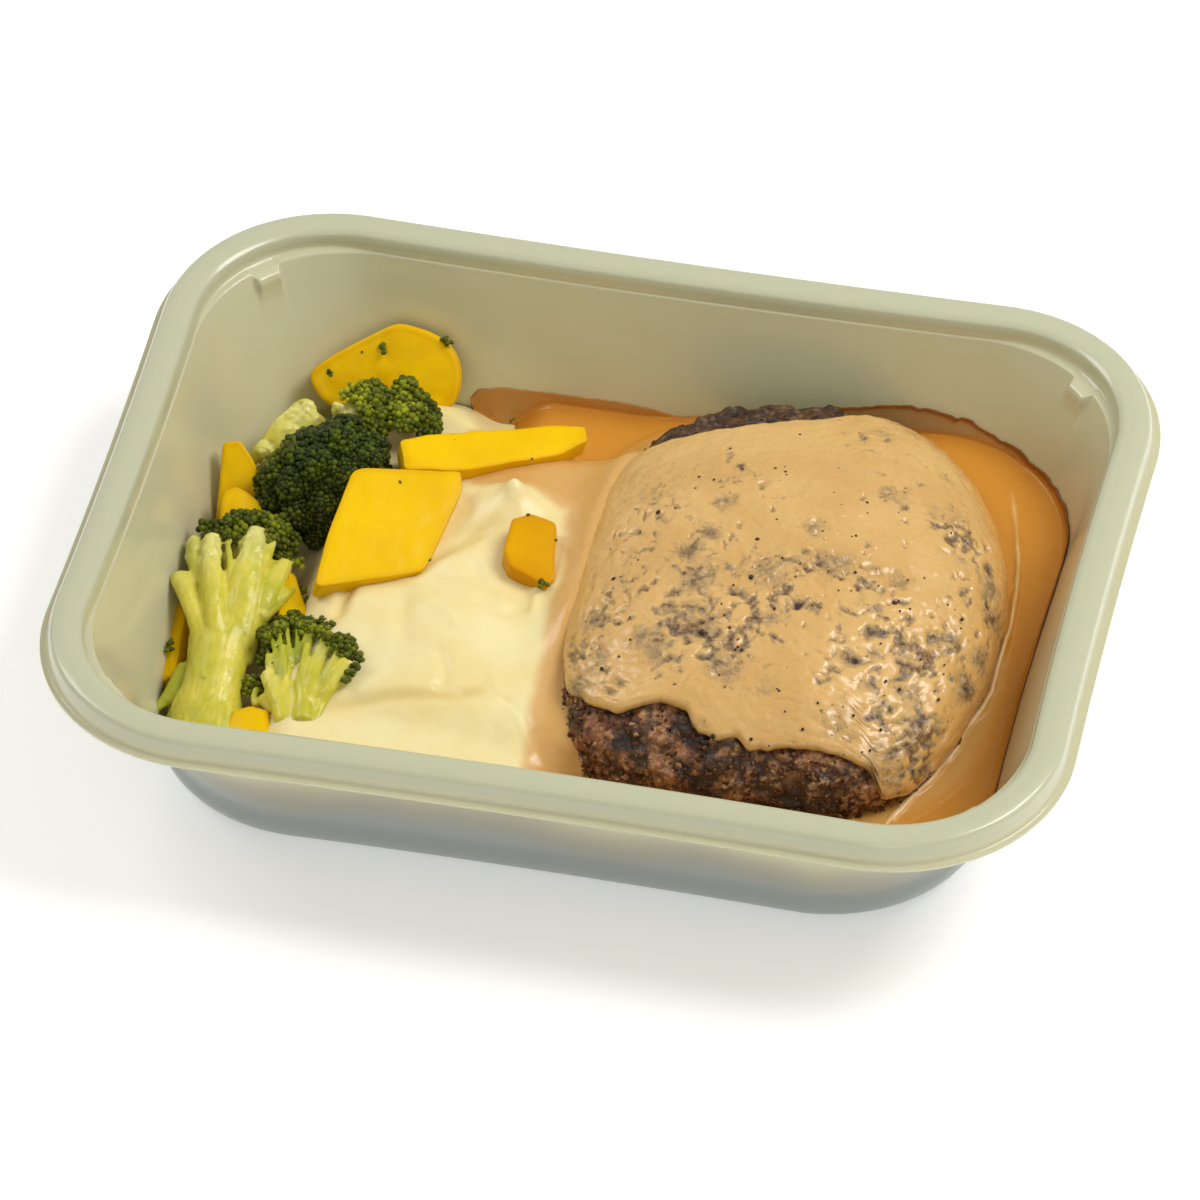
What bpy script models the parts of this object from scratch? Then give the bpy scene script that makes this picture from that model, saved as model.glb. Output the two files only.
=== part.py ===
"""Airline hot-meal tray with a hamburger steak in cream sauce, mashed potato, carrots and broccoli.

Metres, +Z up. The origin is the middle of the tray's base, on the plane it rests on.
+X runs along the long side, -Y is the side nearest to the eater.
"""
import math

import bmesh
import bpy
import numpy as np
from mathutils import Matrix, Vector, noise

MM = 0.001

# Tray: one compartment, thermoformed from thin sheet
TRAY_LENGTH = 227 * MM
TRAY_WIDTH = 178 * MM
RIM_CORNER = 42 * MM
SHEET = 0.8 * MM
SIDE_BOW = 2.1 * MM
BASE_EDGE_RADIUS = 7.9 * MM
BASE_CORNER = 39.3 * MM
BASE_INSET = 19.6 * MM
BODY_CORNER = 36 * MM
LEDGE_INSET = 10.5 * MM
LEDGE_HEIGHT = 41.4 * MM
LUG_DEPTH = 2.3 * MM
LUG_BOTTOM = 31 * MM
LUG_ANGLES = (38.5, 40.5, 49.5, 51.5)
SIDE_PARTS = 4

# Clearance between pieces that touch
GAP = 0.3 * MM

# Hamburger steak
STEAK_CENTRE = (38.5 * MM, 8.5 * MM)
STEAK_HALF_WIDTH = 45 * MM
STEAK_HALF_DEPTH = 58.8 * MM
STEAK_WAIST = 16 * MM
STEAK_TOP = 36 * MM
STEAK_BOTTOM = SHEET + 1.5 * GAP
STEAK_ROUNDING = 2.4
STEAK_AROUND = 42
STEAK_LEVELS = 12
CRAG_SIZE = 7 * MM
CRAG_DEPTH = 1.1 * MM

# Sauce and mash
SAUCE_LEVEL = 13.5 * MM
SAUCE_CORNER_LEVEL = 19 * MM
SAUCE_LEFT_END = -44 * MM
COAT_THICKNESS = 1.5 * MM
COAT_LIFT = 0.8 * MM
MASH_PLATEAU = 21.5 * MM
MASH_TERRACE = 17 * MM
MASH_UNDER_VEGETABLES = 8 * MM
MASH_RIGHT_EDGE = 5 * MM
MASH_GRID = 6.5
SAUCE_GRID = 12.0

# Carrots: plan corners of the upper face, the height at the first corner, the upper face's slopes
CARROTS = {
    "carrot_wedge": dict(corners=((-80.5, 56.7), (-77.9, 59.4), (-63.5, 66.5), (-60.2, 67.2), (-52.1, 66.5),
                                  (-48.4, 64.8), (-46.4, 61.2), (-47.5, 56.0), (-60.0, 52.5), (-75.4, 52.9)),
                         height=21.0, slope=(-0.09, 1.14), thickness=6.0, edge=1.3),
    "carrot_strip": dict(corners=((-53.2, 32.1), (-47.4, 36.2), (-21.4, 49.8), (-16.0, 51.2),
                                  (-14.6, 47.7), (-19.6, 41.8), (-37.1, 30.3), (-50.6, 24.8)),
                         height=29.5, slope=(-0.23, 0.12), thickness=5.0, edge=0.7),
    "carrot_diamond": dict(corners=((-59.9, 17.8), (-38.2, 25.6), (-36.6, 21.3), (-40.3, 0.0),
                                    (-47.0, -4.4), (-61.8, -12.5), (-61.7, 1.6)),
                           height=33.0, slope=(-0.27, 0.28), thickness=6.0, edge=0.7),
    "carrot_chip": dict(corners=((-24.1, 14.5), (-20.7, 17.2), (-14.7, 16.3), (-11.6, 1.8),
                                 (-13.1, -1.2), (-21.8, 2.2), (-24.1, 5.6)),
                        height=28.0, slope=(-0.14, 0.15), thickness=6.0, edge=0.9),
    "carrot_left_back": dict(corners=((-92.1, 26.5), (-88.3, 27.8), (-85.7, 26.1),
                                      (-82.3, 22.7), (-82.5, 11.0), (-90.5, 9.0)),
                             height=26.0, slope=(-0.20, 0.94), thickness=5.0, edge=0.9),
    "carrot_left_front": dict(corners=((-88.9, 12.2), (-88.6, 14.6), (-86.4, 16.3), (-83.6, 16.0),
                                       (-75.8, 11.9), (-80.6, 5.5), (-87.8, 5.5)),
                              height=23.0, slope=(-0.25, 0.37), thickness=5.0, edge=0.9),
    "carrot_between": dict(corners=((-70.6, -2.3), (-68.3, -3.4), (-64.2, -11.3), (-64.0, -17.6), (-69.6, -17.6)),
                           height=19.4, slope=(-0.17, 0.14), thickness=5.0, edge=0.7),
    "carrot_shadow": dict(corners=((-94.2, -18.8), (-93.6, -12.8), (-90.0, -14.5), (-88.8, -32.0), (-92.5, -33.0)),
                          height=12.7, slope=(0.5, 0.3), thickness=4.0, edge=0.5),
    "carrot_front": dict(corners=((-73.6, -46.4), (-73.1, -42.9), (-69.4, -41.5),
                                  (-65.2, -42.4), (-62.9, -48.9), (-72.0, -51.5)),
                         height=13.6, slope=(0.13, 0.26), thickness=5.0, edge=0.9),
}

# Broccoli, in millimetres: the large crown, the small heads behind it, a pale offcut and two florets on their side
CROWN_CENTRE = (-69.7, 26.0, 20.0)
CROWN_RADIUS = 16.5
CROWN_CLUSTERS = 21
CROWN_AXIS = (0.1, -0.35, 1.0)
SMALL_HEADS = {
    "broccoli_back_left": dict(base=(-67, 46, 12), centre=(-64.5, 46.0, 23.5), radius=7.2, base_radius=3.5,
                               axis=(0.5, -0.2, 0.8)),
    "broccoli_back_right": dict(base=(-55, 50, 12), centre=(-53.0, 49.0, 23.0), radius=6.6, base_radius=3.0,
                                axis=(0.5, -0.1, 0.8)),
}
SMALL_HEAD_CLUSTERS = 7
OFFCUT_RUNS = (((-89, 37, 12), (-80, 42, 20), 4.5, 5.0),
               ((-84, 41, 15), (-77, 47, 21), 4.0, 5.5))
CUT_FLORETS = {
    "broccoli_long": dict(base=(-78.5, -52, 11), fork=(-80.5, -24, 15), trunk_radius=9.5, fork_radius=8.4,
                          bud_radius=4.2,
                          tips=(((-91, -11, 18), 1.0), ((-89, -3, 20), 1.1), ((-81, 1, 21), 1.35),
                                ((-76, -1, 20), 1.2), ((-72, -5, 19), 0.9))),
    "broccoli_front": dict(base=(-56.5, -56, 13), fork=(-58.5, -42, 16), trunk_radius=4.6, fork_radius=5.2,
                           bud_radius=3.0,
                           tips=(((-68.5, -30, 18.5), 1.0), ((-65, -26, 20), 1.1), ((-59.5, -25, 21), 1.25),
                                 ((-53.5, -27, 20.5), 1.15), ((-49.5, -32, 19.5), 1.0))),
}

# Which pieces each vegetable is cut round, besides the tray
CUT_ROUND = {
    "broccoli_crown": ("carrot_diamond", "carrot_strip"),
    "broccoli_back_left": ("broccoli_crown",),
    "broccoli_back_right": ("broccoli_back_left", "carrot_strip"),
    "carrot_wedge": ("broccoli_back_left", "broccoli_back_right"),
    "broccoli_offcut": ("broccoli_crown", "carrot_wedge", "broccoli_back_left"),
    "carrot_left_back": ("broccoli_crown", "broccoli_offcut", "carrot_left_front"),
    "carrot_left_front": ("broccoli_crown", "broccoli_long"),
    "carrot_between": ("broccoli_long", "broccoli_front", "broccoli_crown", "carrot_diamond"),
    "carrot_shadow": ("broccoli_long",),
    "carrot_front": ("broccoli_long", "broccoli_front"),
    "broccoli_long": ("broccoli_crown",),
}


def smooth_step(value):
    """0 below 0, 1 above 1, and an S-shaped rise between them."""
    t = np.clip(value, 0.0, 1.0)
    return t * t * (3.0 - 2.0 * t)


def bump(x, y, centre, width, depth):
    """A round bell of height 1 at the centre."""
    return np.exp(-((x - centre[0]) / width) ** 2 - ((y - centre[1]) / depth) ** 2)


def new_collection(name):
    collection = bpy.data.collections.new(name)
    bpy.context.scene.collection.children.link(collection)
    return collection


def add_object(name, bm, collection, material=None):
    """Turn a bmesh into a named object with its material."""
    bmesh.ops.recalc_face_normals(bm, faces=bm.faces)
    mesh = bpy.data.meshes.new(name)
    bm.to_mesh(mesh)
    bm.free()
    obj = bpy.data.objects.new(name, mesh)
    collection.objects.link(obj)
    if material:
        mesh.materials.append(material)
    return obj


def make_material(name, colour, roughness, metallic=0.0):
    material = bpy.data.materials.new(name)
    material.use_nodes = True
    shader = material.node_tree.nodes["Principled BSDF"]
    shader.inputs["Base Color"].default_value = (*colour, 1.0)
    shader.inputs["Roughness"].default_value = roughness
    shader.inputs["Metallic"].default_value = metallic
    return material


def hide_cutter(obj):
    obj.hide_render = True
    obj.display_type = "WIRE"


def loft(loops, cap_first, cap_last):
    """A bmesh of quads between closed loops of equal length, with optional end faces."""
    bm = bmesh.new()
    rows = [[bm.verts.new(point) for point in loop] for loop in loops]
    for lower, upper in zip(rows[:-1], rows[1:]):
        count = len(lower)
        for i in range(count):
            j = (i + 1) % count
            bm.faces.new((lower[i], lower[j], upper[j], upper[i]))
    if cap_first:
        bm.faces.new(rows[0][::-1])
    if cap_last:
        bm.faces.new(rows[-1])
    return bm


# Tray

def corner_turn():
    """Angles of the points along a corner, close together where the stacking lug starts and ends."""
    start, start_flat, end_flat, end = LUG_ANGLES
    degrees = (0, 13, 26, start, start_flat, end_flat, end, 64, 77, 90)
    return np.radians(degrees)


def lug_share(angle):
    """1 across the stacking lug in the middle of a corner, 0 beside it."""
    start, start_flat, end_flat, end = np.radians(LUG_ANGLES)
    rise = np.clip((angle - start) / (start_flat - start), 0, 1)
    fall = np.clip((end - angle) / (end - end_flat), 0, 1)
    return rise * fall


def tray_loop(inset, corner, height, lug=0.0):
    """A rounded rectangle inside the rim's outline, whose sides pull in a little at their middle."""
    half_length = TRAY_LENGTH / 2 - inset
    half_width = TRAY_WIDTH / 2 - inset
    turn = corner_turn()
    radius = corner - lug * lug_share(turn)
    arc_x = half_length - corner + radius * np.cos(turn)
    arc_y = half_width - corner + radius * np.sin(turn)
    side_steps = np.linspace(0, 1, SIDE_PARTS + 1)[1:-1]
    points = []
    for x_sign, y_sign in ((1, 1), (-1, 1), (-1, -1), (1, -1)):
        arc = list(zip(x_sign * arc_x, y_sign * arc_y))
        if x_sign * y_sign < 0:
            arc.reverse()
        if points:
            last = points[-1]
            points += [(last[0] + (arc[0][0] - last[0]) * t, last[1] + (arc[0][1] - last[1]) * t)
                       for t in side_steps]
        points += arc
    last, first = points[-1], points[0]
    points += [(last[0] + (first[0] - last[0]) * t, last[1] + (first[1] - last[1]) * t) for t in side_steps]
    xy = np.array(points)
    pull_x = SIDE_BOW * np.clip(1 - (xy[:, 1] / half_width) ** 2, 0, 1)
    pull_y = SIDE_BOW * np.clip(1 - (xy[:, 0] / half_length) ** 2, 0, 1)
    x = xy[:, 0] - np.sign(xy[:, 0]) * pull_x
    y = xy[:, 1] - np.sign(xy[:, 1]) * pull_y
    return np.c_[x, y, np.full(len(x), height)]


def rim_loops():
    """The rim from the outer lip, up over the flange and down the inner edge to the ledge."""
    profile = ((0.0, 40.9), (1.4, 41.1), (2.3, 45.2), (3.1, 46.0), (5.0, 46.2),
               (8.2, 45.9), (9.3, 45.2), (9.8, 43.8), (10.1, 41.9))
    return [tray_loop(inset * MM, RIM_CORNER - inset * MM, height * MM) for inset, height in profile]


def body_loops(clearance):
    """The wall from the ledge down round the base edge, moved inwards by the clearance."""
    centre_inset = BASE_INSET + BASE_EDGE_RADIUS
    radius = BASE_EDGE_RADIUS - SHEET - clearance
    ledge = LEDGE_INSET + clearance
    drop = LEDGE_HEIGHT - BASE_EDGE_RADIUS
    low_inset = centre_inset - radius
    loops = [tray_loop(ledge, BODY_CORNER - clearance, LEDGE_HEIGHT, LUG_DEPTH)]
    for height in (LEDGE_HEIGHT - 1 * MM, LUG_BOTTOM):
        share = (LEDGE_HEIGHT - height) / drop
        inset = ledge + (low_inset - ledge) * share
        corner = BODY_CORNER - clearance + (BASE_CORNER - SHEET - BODY_CORNER) * share
        depth = LUG_DEPTH * (height > LUG_BOTTOM)
        loops.append(tray_loop(inset, corner, height, depth))
    for turn in np.radians((-14, 20, 55, 90)):
        reach = radius * math.cos(turn)
        corner = BASE_CORNER - BASE_EDGE_RADIUS + reach
        loops.append(tray_loop(centre_inset - reach, corner, BASE_EDGE_RADIUS - radius * math.sin(turn)))
    return loops


def build_tray(collection, material):
    loops = rim_loops() + body_loops(0.0)
    bm = loft(loops, cap_first=False, cap_last=True)
    obj = add_object("tray", bm, collection, material)
    if obj.data.polygons[-1].normal.z < 0:
        obj.data.flip_normals()
    obj.data.shade_smooth()
    obj.data.set_sharp_from_angle(angle=math.radians(35))
    shell = obj.modifiers.new("sheet thickness", "SOLIDIFY")
    shell.thickness = SHEET
    shell.offset = -1.0
    shell.use_even_offset = True
    return obj


def build_cavity(collection):
    """The space inside the tray, a clearance away from its wall, that shapes the soft food."""
    obj = add_object("cavity", loft(body_loops(GAP * 1.2), cap_first=True, cap_last=True), collection)
    hide_cutter(obj)
    return obj


# Hamburger steak

def steak_reach(angle, grow):
    """Plan radius of the steak: an oval, squarer at the front left than at the back right."""
    squareness = 2.9 + 0.95 * np.cos(angle - math.radians(225))
    across = np.abs(np.cos(angle)) / (STEAK_HALF_WIDTH + grow)
    along = np.abs(np.sin(angle)) / (STEAK_HALF_DEPTH + grow)
    return (across ** squareness + along ** squareness) ** (-1.0 / squareness)


def steak_point(angle, polar, grow=0.0, crags=True):
    """A point on the steak: polar runs from 0 at the top, over pi/2 at the waist, to the underside."""
    power = 2.0 / STEAK_ROUNDING
    out = max(math.sin(polar), 0.0) ** power
    up = math.copysign(abs(math.cos(polar)) ** power, math.cos(polar))
    rise = (STEAK_TOP - STEAK_WAIST) if up > 0 else (STEAK_WAIST - STEAK_BOTTOM)
    radius = steak_reach(angle, grow) * out
    point = Vector((STEAK_CENTRE[0] + radius * math.cos(angle),
                    STEAK_CENTRE[1] + radius * math.sin(angle),
                    STEAK_WAIST + (rise + grow) * up))
    if crags:
        point += steak_relief(point, angle, out)
    return point


def steak_relief(point, angle, out):
    """Broad lumps all over and deeper crags on the bare crust at the front."""
    facing_front = 0.5 - 0.5 * math.sin(angle)
    lumps = noise.noise(point * (1 / (4 * CRAG_SIZE))) * 1.4 * MM * out
    crags = noise.noise(point * (1 / CRAG_SIZE)) * CRAG_DEPTH * facing_front * out ** 4
    sideways = Vector((math.cos(angle), math.sin(angle), 0.35))
    return sideways * (lumps + crags)


def steak_bmesh(around, levels, grow=0.0):
    bm = bmesh.new()
    top = bm.verts.new(steak_point(0.0, 0.0, grow))
    rows = []
    for level in range(1, levels + 1):
        polar = 0.93 * math.pi * level / levels
        angles = [2 * math.pi * i / around for i in range(around)]
        rows.append([bm.verts.new(steak_point(angle, polar, grow)) for angle in angles])
    floor = STEAK_BOTTOM - grow
    for vert in rows[-1]:
        vert.co.z = floor
    for i in range(around):
        bm.faces.new((top, rows[0][i], rows[0][(i + 1) % around]))
    for upper, lower in zip(rows[:-1], rows[1:]):
        for i in range(around):
            j = (i + 1) % around
            bm.faces.new((upper[i], lower[i], lower[j], upper[j]))
    bm.faces.new(rows[-1][::-1])
    return bm


def build_steak(collection, material):
    obj = add_object("hamburger_steak", steak_bmesh(STEAK_AROUND, STEAK_LEVELS), collection, material)
    obj.data.shade_smooth()
    return obj


def coat_edge_height(angle):
    """Height at which the sauce coat ends: high over the bare crust in front and at the back left."""
    degrees = math.degrees(angle) % 360
    marks = (0, 35, 60, 88, 102, 118, 132, 150, 205, 222, 232, 243, 270, 298, 312, 335, 360)
    heights = (18.5, 21, 22.5, 22, 27, 28.5, 27.5, 24, 24, 23.5, 27, 29, 27, 26, 20, 17, 18.5)
    return float(np.interp(degrees, marks, heights)) * MM


def coat_thickness(angle, share):
    """Thickest half way down, thin at the very edge, with slow ripples."""
    ripple = 0.25 * math.sin(5 * angle + 9 * share) + 0.2 * math.sin(3 * angle - 14 * share)
    taper = 1.0 - 0.6 * smooth_step((share - 0.8) / 0.2)
    return COAT_THICKNESS * (1.0 + ripple) * float(taper)


def build_coat(collection, material):
    """The cream sauce that lies on the steak, as a skin of uneven thickness just off its surface."""
    around, rings = STEAK_AROUND, 6
    lift = COAT_LIFT
    bm = bmesh.new()
    top = bm.verts.new(steak_point(0.0, 0.0, lift + coat_thickness(0.0, 0.0)))
    under = bm.verts.new(steak_point(0.0, 0.0, lift))
    outer_rows, inner_rows = [], []
    for ring in range(1, rings + 1):
        outer, inner = [], []
        share = ring / rings
        for i in range(around):
            angle = 2 * math.pi * i / around
            up = (coat_edge_height(angle) - STEAK_WAIST) / (STEAK_TOP - STEAK_WAIST)
            edge = math.acos(up ** (STEAK_ROUNDING / 2))
            polar = edge * share
            outer.append(bm.verts.new(steak_point(angle, polar, lift + coat_thickness(angle, share))))
            inner.append(bm.verts.new(steak_point(angle, polar, lift)))
        outer_rows.append(outer)
        inner_rows.append(inner)
    for i in range(around):
        j = (i + 1) % around
        bm.faces.new((top, outer_rows[0][i], outer_rows[0][j]))
        bm.faces.new((under, inner_rows[0][j], inner_rows[0][i]))
        bm.faces.new((outer_rows[-1][i], inner_rows[-1][i], inner_rows[-1][j], outer_rows[-1][j]))
    for rows, flip in ((outer_rows, False), (inner_rows, True)):
        for upper, lower in zip(rows[:-1], rows[1:]):
            for i in range(around):
                j = (i + 1) % around
                face = (upper[i], lower[i], lower[j], upper[j])
                bm.faces.new(face[::-1] if flip else face)
    obj = add_object("sauce_coat", bm, collection, material)
    obj.data.shade_smooth()
    return obj


# Mash and sauce pool

def mash_height(x, y):
    """Height of the mashed potato in millimetres at a plan position in millimetres."""
    plateau = MASH_PLATEAU / MM
    terrace = MASH_TERRACE / MM
    low = MASH_UNDER_VEGETABLES / MM
    front = smooth_step((y + 41 + 0.08 * (x + 40)) / 5.0)
    height = terrace + (plateau - terrace) * front
    left = smooth_step((x + 74) / 16.0)
    height = low + (height - low) * left
    back_line = 50.0 + 12.0 * smooth_step((-x - 30) / 18.0)
    back = smooth_step((y - back_line + 12) / 22.0)
    height = height - (height - low) * back
    height = height + 5.0 * bump(x, y, (-26, 24), 9, 8)
    height = height + 2.2 * bump(x, y, (-40, -14), 13, 11)
    height = height - 2.4 * bump(x, y, (-60, -20), 4, 12)
    height = height + 1.4 * np.sin(x / 6.5 + 0.6 * np.sin(y / 9.0)) * bump(x, y, (-30, -10), 26, 26)
    front_right = smooth_step((x + 8) / 12.0) * smooth_step((-42 - y) / 10.0)
    height = height - (height - low) * front_right
    return height


def sauce_height(x, y):
    """Height of the sauce pool in millimetres: low in front and at the left, banked up in the back right corner."""
    level = SAUCE_LEVEL / MM
    bank = SAUCE_CORNER_LEVEL / MM - level
    share = smooth_step((x - 20) / 45.0) * smooth_step((y + 10) / 50.0)
    left_end = smooth_step((-26 - x) / 16.0)
    return level + bank * share - 0.7 * level * left_end + 0.3 * np.sin(x / 11.0) * np.cos(y / 13.0)


def height_block(name, height_of, x_range, y_range, step, grow, collection):
    """A closed block over a rectangle whose upper face follows a height function."""
    x_count = int(round((x_range[1] - x_range[0]) / step)) + 1
    y_count = int(round((y_range[1] - y_range[0]) / step)) + 1
    xs = np.linspace(*x_range, x_count)
    ys = np.linspace(*y_range, y_count)
    xs[0] -= grow
    xs[-1] += grow
    bm = bmesh.new()
    grid = [[bm.verts.new((x * MM, y * MM, (float(height_of(x, y)) + grow) * MM)) for y in ys] for x in xs]
    for i in range(x_count - 1):
        for j in range(y_count - 1):
            bm.faces.new((grid[i][j], grid[i + 1][j], grid[i + 1][j + 1]))
            bm.faces.new((grid[i][j], grid[i + 1][j + 1], grid[i][j + 1]))
    border = [grid[i][0] for i in range(x_count)]
    border += [grid[-1][j] for j in range(1, y_count)]
    border += [grid[i][-1] for i in range(x_count - 2, -1, -1)]
    border += [grid[0][j] for j in range(y_count - 2, 0, -1)]
    below = [bm.verts.new((vert.co.x, vert.co.y, -1 * MM)) for vert in border]
    for i in range(len(border)):
        j = (i + 1) % len(border)
        bm.faces.new((below[i], below[j], border[j], border[i]))
    bm.faces.new(below[::-1])
    return add_object(name, bm, collection)


# Boolean helpers

def cut(obj, cutters, operation="DIFFERENCE"):
    """Apply one Boolean for each cutter and keep the largest body that is left."""
    for cutter in cutters:
        step = obj.modifiers.new("cut", "BOOLEAN")
        step.operation = operation
        step.object = cutter
    keep_result(obj)


def keep_result(obj):
    """Replace the mesh by its evaluated shape, without modifiers or loose scraps."""
    bpy.context.view_layer.update()
    graph = bpy.context.evaluated_depsgraph_get()
    mesh = bpy.data.meshes.new_from_object(obj.evaluated_get(graph))
    obj.modifiers.clear()
    old = obj.data
    obj.data = mesh
    mesh.name = obj.name
    bpy.data.meshes.remove(old)
    bm = bmesh.new()
    bm.from_mesh(mesh)
    bmesh.ops.remove_doubles(bm, verts=bm.verts, dist=0.01 * MM)
    bmesh.ops.dissolve_degenerate(bm, edges=bm.edges, dist=0.01 * MM)
    islands = find_islands(bm)
    for island in sorted(islands, key=len)[:-1]:
        bmesh.ops.delete(bm, geom=island, context="VERTS")
    bm.to_mesh(mesh)
    bm.free()


def find_islands(bm):
    """Groups of connected vertices."""
    seen = set()
    islands = []
    for start in bm.verts:
        if start in seen:
            continue
        seen.add(start)
        island, open_ends = [start], [start]
        while open_ends:
            vert = open_ends.pop()
            for edge in vert.link_edges:
                other = edge.other_vert(vert)
                if other not in seen:
                    seen.add(other)
                    island.append(other)
                    open_ends.append(other)
        islands.append(island)
    return islands


def grown_hull(obj, collection):
    """The convex hull of a piece, a clearance larger, as a cutter for what lies under it."""
    bpy.context.view_layer.update()
    graph = bpy.context.evaluated_depsgraph_get()
    mesh = bpy.data.meshes.new_from_object(obj.evaluated_get(graph))
    bm = bmesh.new()
    bm.from_mesh(mesh)
    bpy.data.meshes.remove(mesh)
    hull = bmesh.ops.convex_hull(bm, input=bm.verts)
    outside = set(hull["geom"])
    inner = [v for v in bm.verts if v not in outside]
    bmesh.ops.delete(bm, geom=inner, context="VERTS")
    loose = [f for f in bm.faces if f not in outside]
    bmesh.ops.delete(bm, geom=loose, context="FACES_ONLY")
    bmesh.ops.recalc_face_normals(bm, faces=bm.faces)
    bm.normal_update()
    for vert in bm.verts:
        vert.co += vert.normal * GAP * 1.7
    cutter = add_object("clearance_" + obj.name, bm, collection)
    hide_cutter(cutter)
    return cutter


def fuse(name, pieces, collection, material):
    """Join overlapping bodies into one by a single Boolean union on a collection."""
    parts = new_collection("pieces_of_" + name)
    first = pieces[0]
    for piece in pieces[1:]:
        for home in list(piece.users_collection):
            home.objects.unlink(piece)
        parts.objects.link(piece)
    join = first.modifiers.new("join", "BOOLEAN")
    join.operation = "UNION"
    join.operand_type = "COLLECTION"
    join.collection = parts
    first.name = name
    keep_result(first)
    for piece in pieces[1:]:
        bpy.data.objects.remove(piece)
    bpy.data.collections.remove(parts)
    first.data.materials.clear()
    first.data.materials.append(material)
    first.data.shade_smooth()
    first.data.set_sharp_from_angle(angle=math.radians(50))
    return first


# Carrots

def build_carrot(name, corners, height, slope, thickness, edge, collection, material):
    """A cut slice: its outline on a tilted plane, given thickness and rounded edges."""
    bm = bmesh.new()
    x0, y0 = corners[0]
    loop = []
    for x, y in corners:
        z = height + slope[0] * (x - x0) + slope[1] * (y - y0)
        loop.append(bm.verts.new(Vector((x, y, z)) * MM))
    bm.faces.new(loop)
    bmesh.ops.recalc_face_normals(bm, faces=bm.faces)
    bm.normal_update()
    up = Vector((-slope[0], -slope[1], 1.0)).normalized()
    lower = bmesh.ops.extrude_face_region(bm, geom=list(bm.faces))
    moved = [item for item in lower["geom"] if isinstance(item, bmesh.types.BMVert)]
    bmesh.ops.translate(bm, verts=moved, vec=-up * thickness * MM)
    obj = add_object(name, bm, collection, material)
    rounding = obj.modifiers.new("worn edge", "BEVEL")
    rounding.width = edge * MM
    rounding.segments = 2
    rounding.limit_method = "ANGLE"
    rounding.angle_limit = math.radians(40)
    keep_result(obj)
    obj.data.shade_smooth()
    obj.data.set_sharp_from_angle(angle=math.radians(40))
    return obj


# Broccoli

def blob(centre, radius, collection, detail=1, squash=(1, 1, 1), seed=0):
    """A lumpy ball: one cluster of buds."""
    bm = bmesh.new()
    bmesh.ops.create_icosphere(bm, subdivisions=detail, radius=1.0)
    for vert in bm.verts:
        wobble = 1.0 + 0.14 * noise.noise(vert.co * 2.1 + Vector((seed * 3.7, 0, 0)))
        vert.co = Vector([vert.co[k] * radius * squash[k] * wobble + centre[k] for k in range(3)]) * MM
    return add_object("blob", bm, collection)


def branch(start, end, start_radius, end_radius, collection, sides=9):
    """A tapering stalk between two points."""
    start, end = Vector(start), Vector(end)
    run = end - start
    bm = bmesh.new()
    bmesh.ops.create_cone(bm, cap_ends=True, segments=sides, radius1=start_radius * MM,
                          radius2=end_radius * MM, depth=run.length * MM)
    turn = Vector((0, 0, 1)).rotation_difference(run).to_matrix().to_4x4()
    place = Matrix.Translation((start + end) / 2 * MM) @ turn
    bmesh.ops.transform(bm, matrix=place, verts=bm.verts)
    return add_object("branch", bm, collection)


def dome_directions(count, axis, spread):
    """Evenly spaced unit vectors within an angle of an axis, on a golden-angle spiral."""
    axis = Vector(axis).normalized()
    turn = Vector((0, 0, 1)).rotation_difference(axis)
    lowest = math.cos(spread)
    directions = []
    for i in range(count):
        z = 1 - (1 - lowest) * (i + 0.5) / count
        ring = math.sqrt(1 - z * z)
        angle = i * math.pi * (3 - math.sqrt(5))
        directions.append(turn @ Vector((ring * math.cos(angle), ring * math.sin(angle), z)))
    return directions


def build_big_crown(collection, material):
    """The large dark head: bud clusters over a dome that faces up and to the front."""
    centre = Vector(CROWN_CENTRE)
    pieces = [blob(centre, CROWN_RADIUS * 0.80, collection, detail=2)]
    for i, way in enumerate(dome_directions(CROWN_CLUSTERS, CROWN_AXIS, math.radians(108))):
        size = 5.0 + 0.7 * math.sin(2.3 * i)
        spot = centre + way * (CROWN_RADIUS - size * 0.93)
        pieces.append(blob(spot, size, collection, seed=i + 1))
    pieces.append(branch(centre + Vector((-2, 10, -12)), centre, 5, 8, collection))
    return fuse("broccoli_crown", pieces, collection, material)


def build_small_head(name, base, centre, radius, base_radius, axis, collection, material):
    """A small floret: a stalk and a cluster of bud clumps."""
    centre = Vector(centre)
    pieces = [blob(centre, radius * 0.72, collection)]
    for i, way in enumerate(dome_directions(SMALL_HEAD_CLUSTERS, axis, math.radians(95))):
        size = radius * (0.42 + 0.05 * math.sin(1.9 * i))
        pieces.append(blob(centre + way * (radius - size), size, collection, seed=i + 11))
    pieces.append(branch(base, centre, base_radius, radius * 0.62, collection))
    return fuse(name, pieces, collection, material)


def build_cut_floret(name, base, fork, tips, trunk_radius, fork_radius, bud_radius, collection, material):
    """A floret on its side: a thick trunk that forks into branches, each with a clump of buds."""
    pieces = [branch(base, fork, trunk_radius, fork_radius, collection, sides=12)]
    for i, (tip, bud_scale) in enumerate(tips):
        tip = Vector(tip)
        start = Vector(base).lerp(Vector(fork), 0.55)
        start = start.lerp(tip, 0.05)
        tip_radius = bud_radius * bud_scale * 0.72
        pieces.append(branch(start, tip, fork_radius * 0.50, tip_radius, collection, sides=7))
        pieces.append(blob(tip, bud_radius * bud_scale, collection, seed=i + 31))
    return fuse(name, pieces, collection, material)


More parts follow.
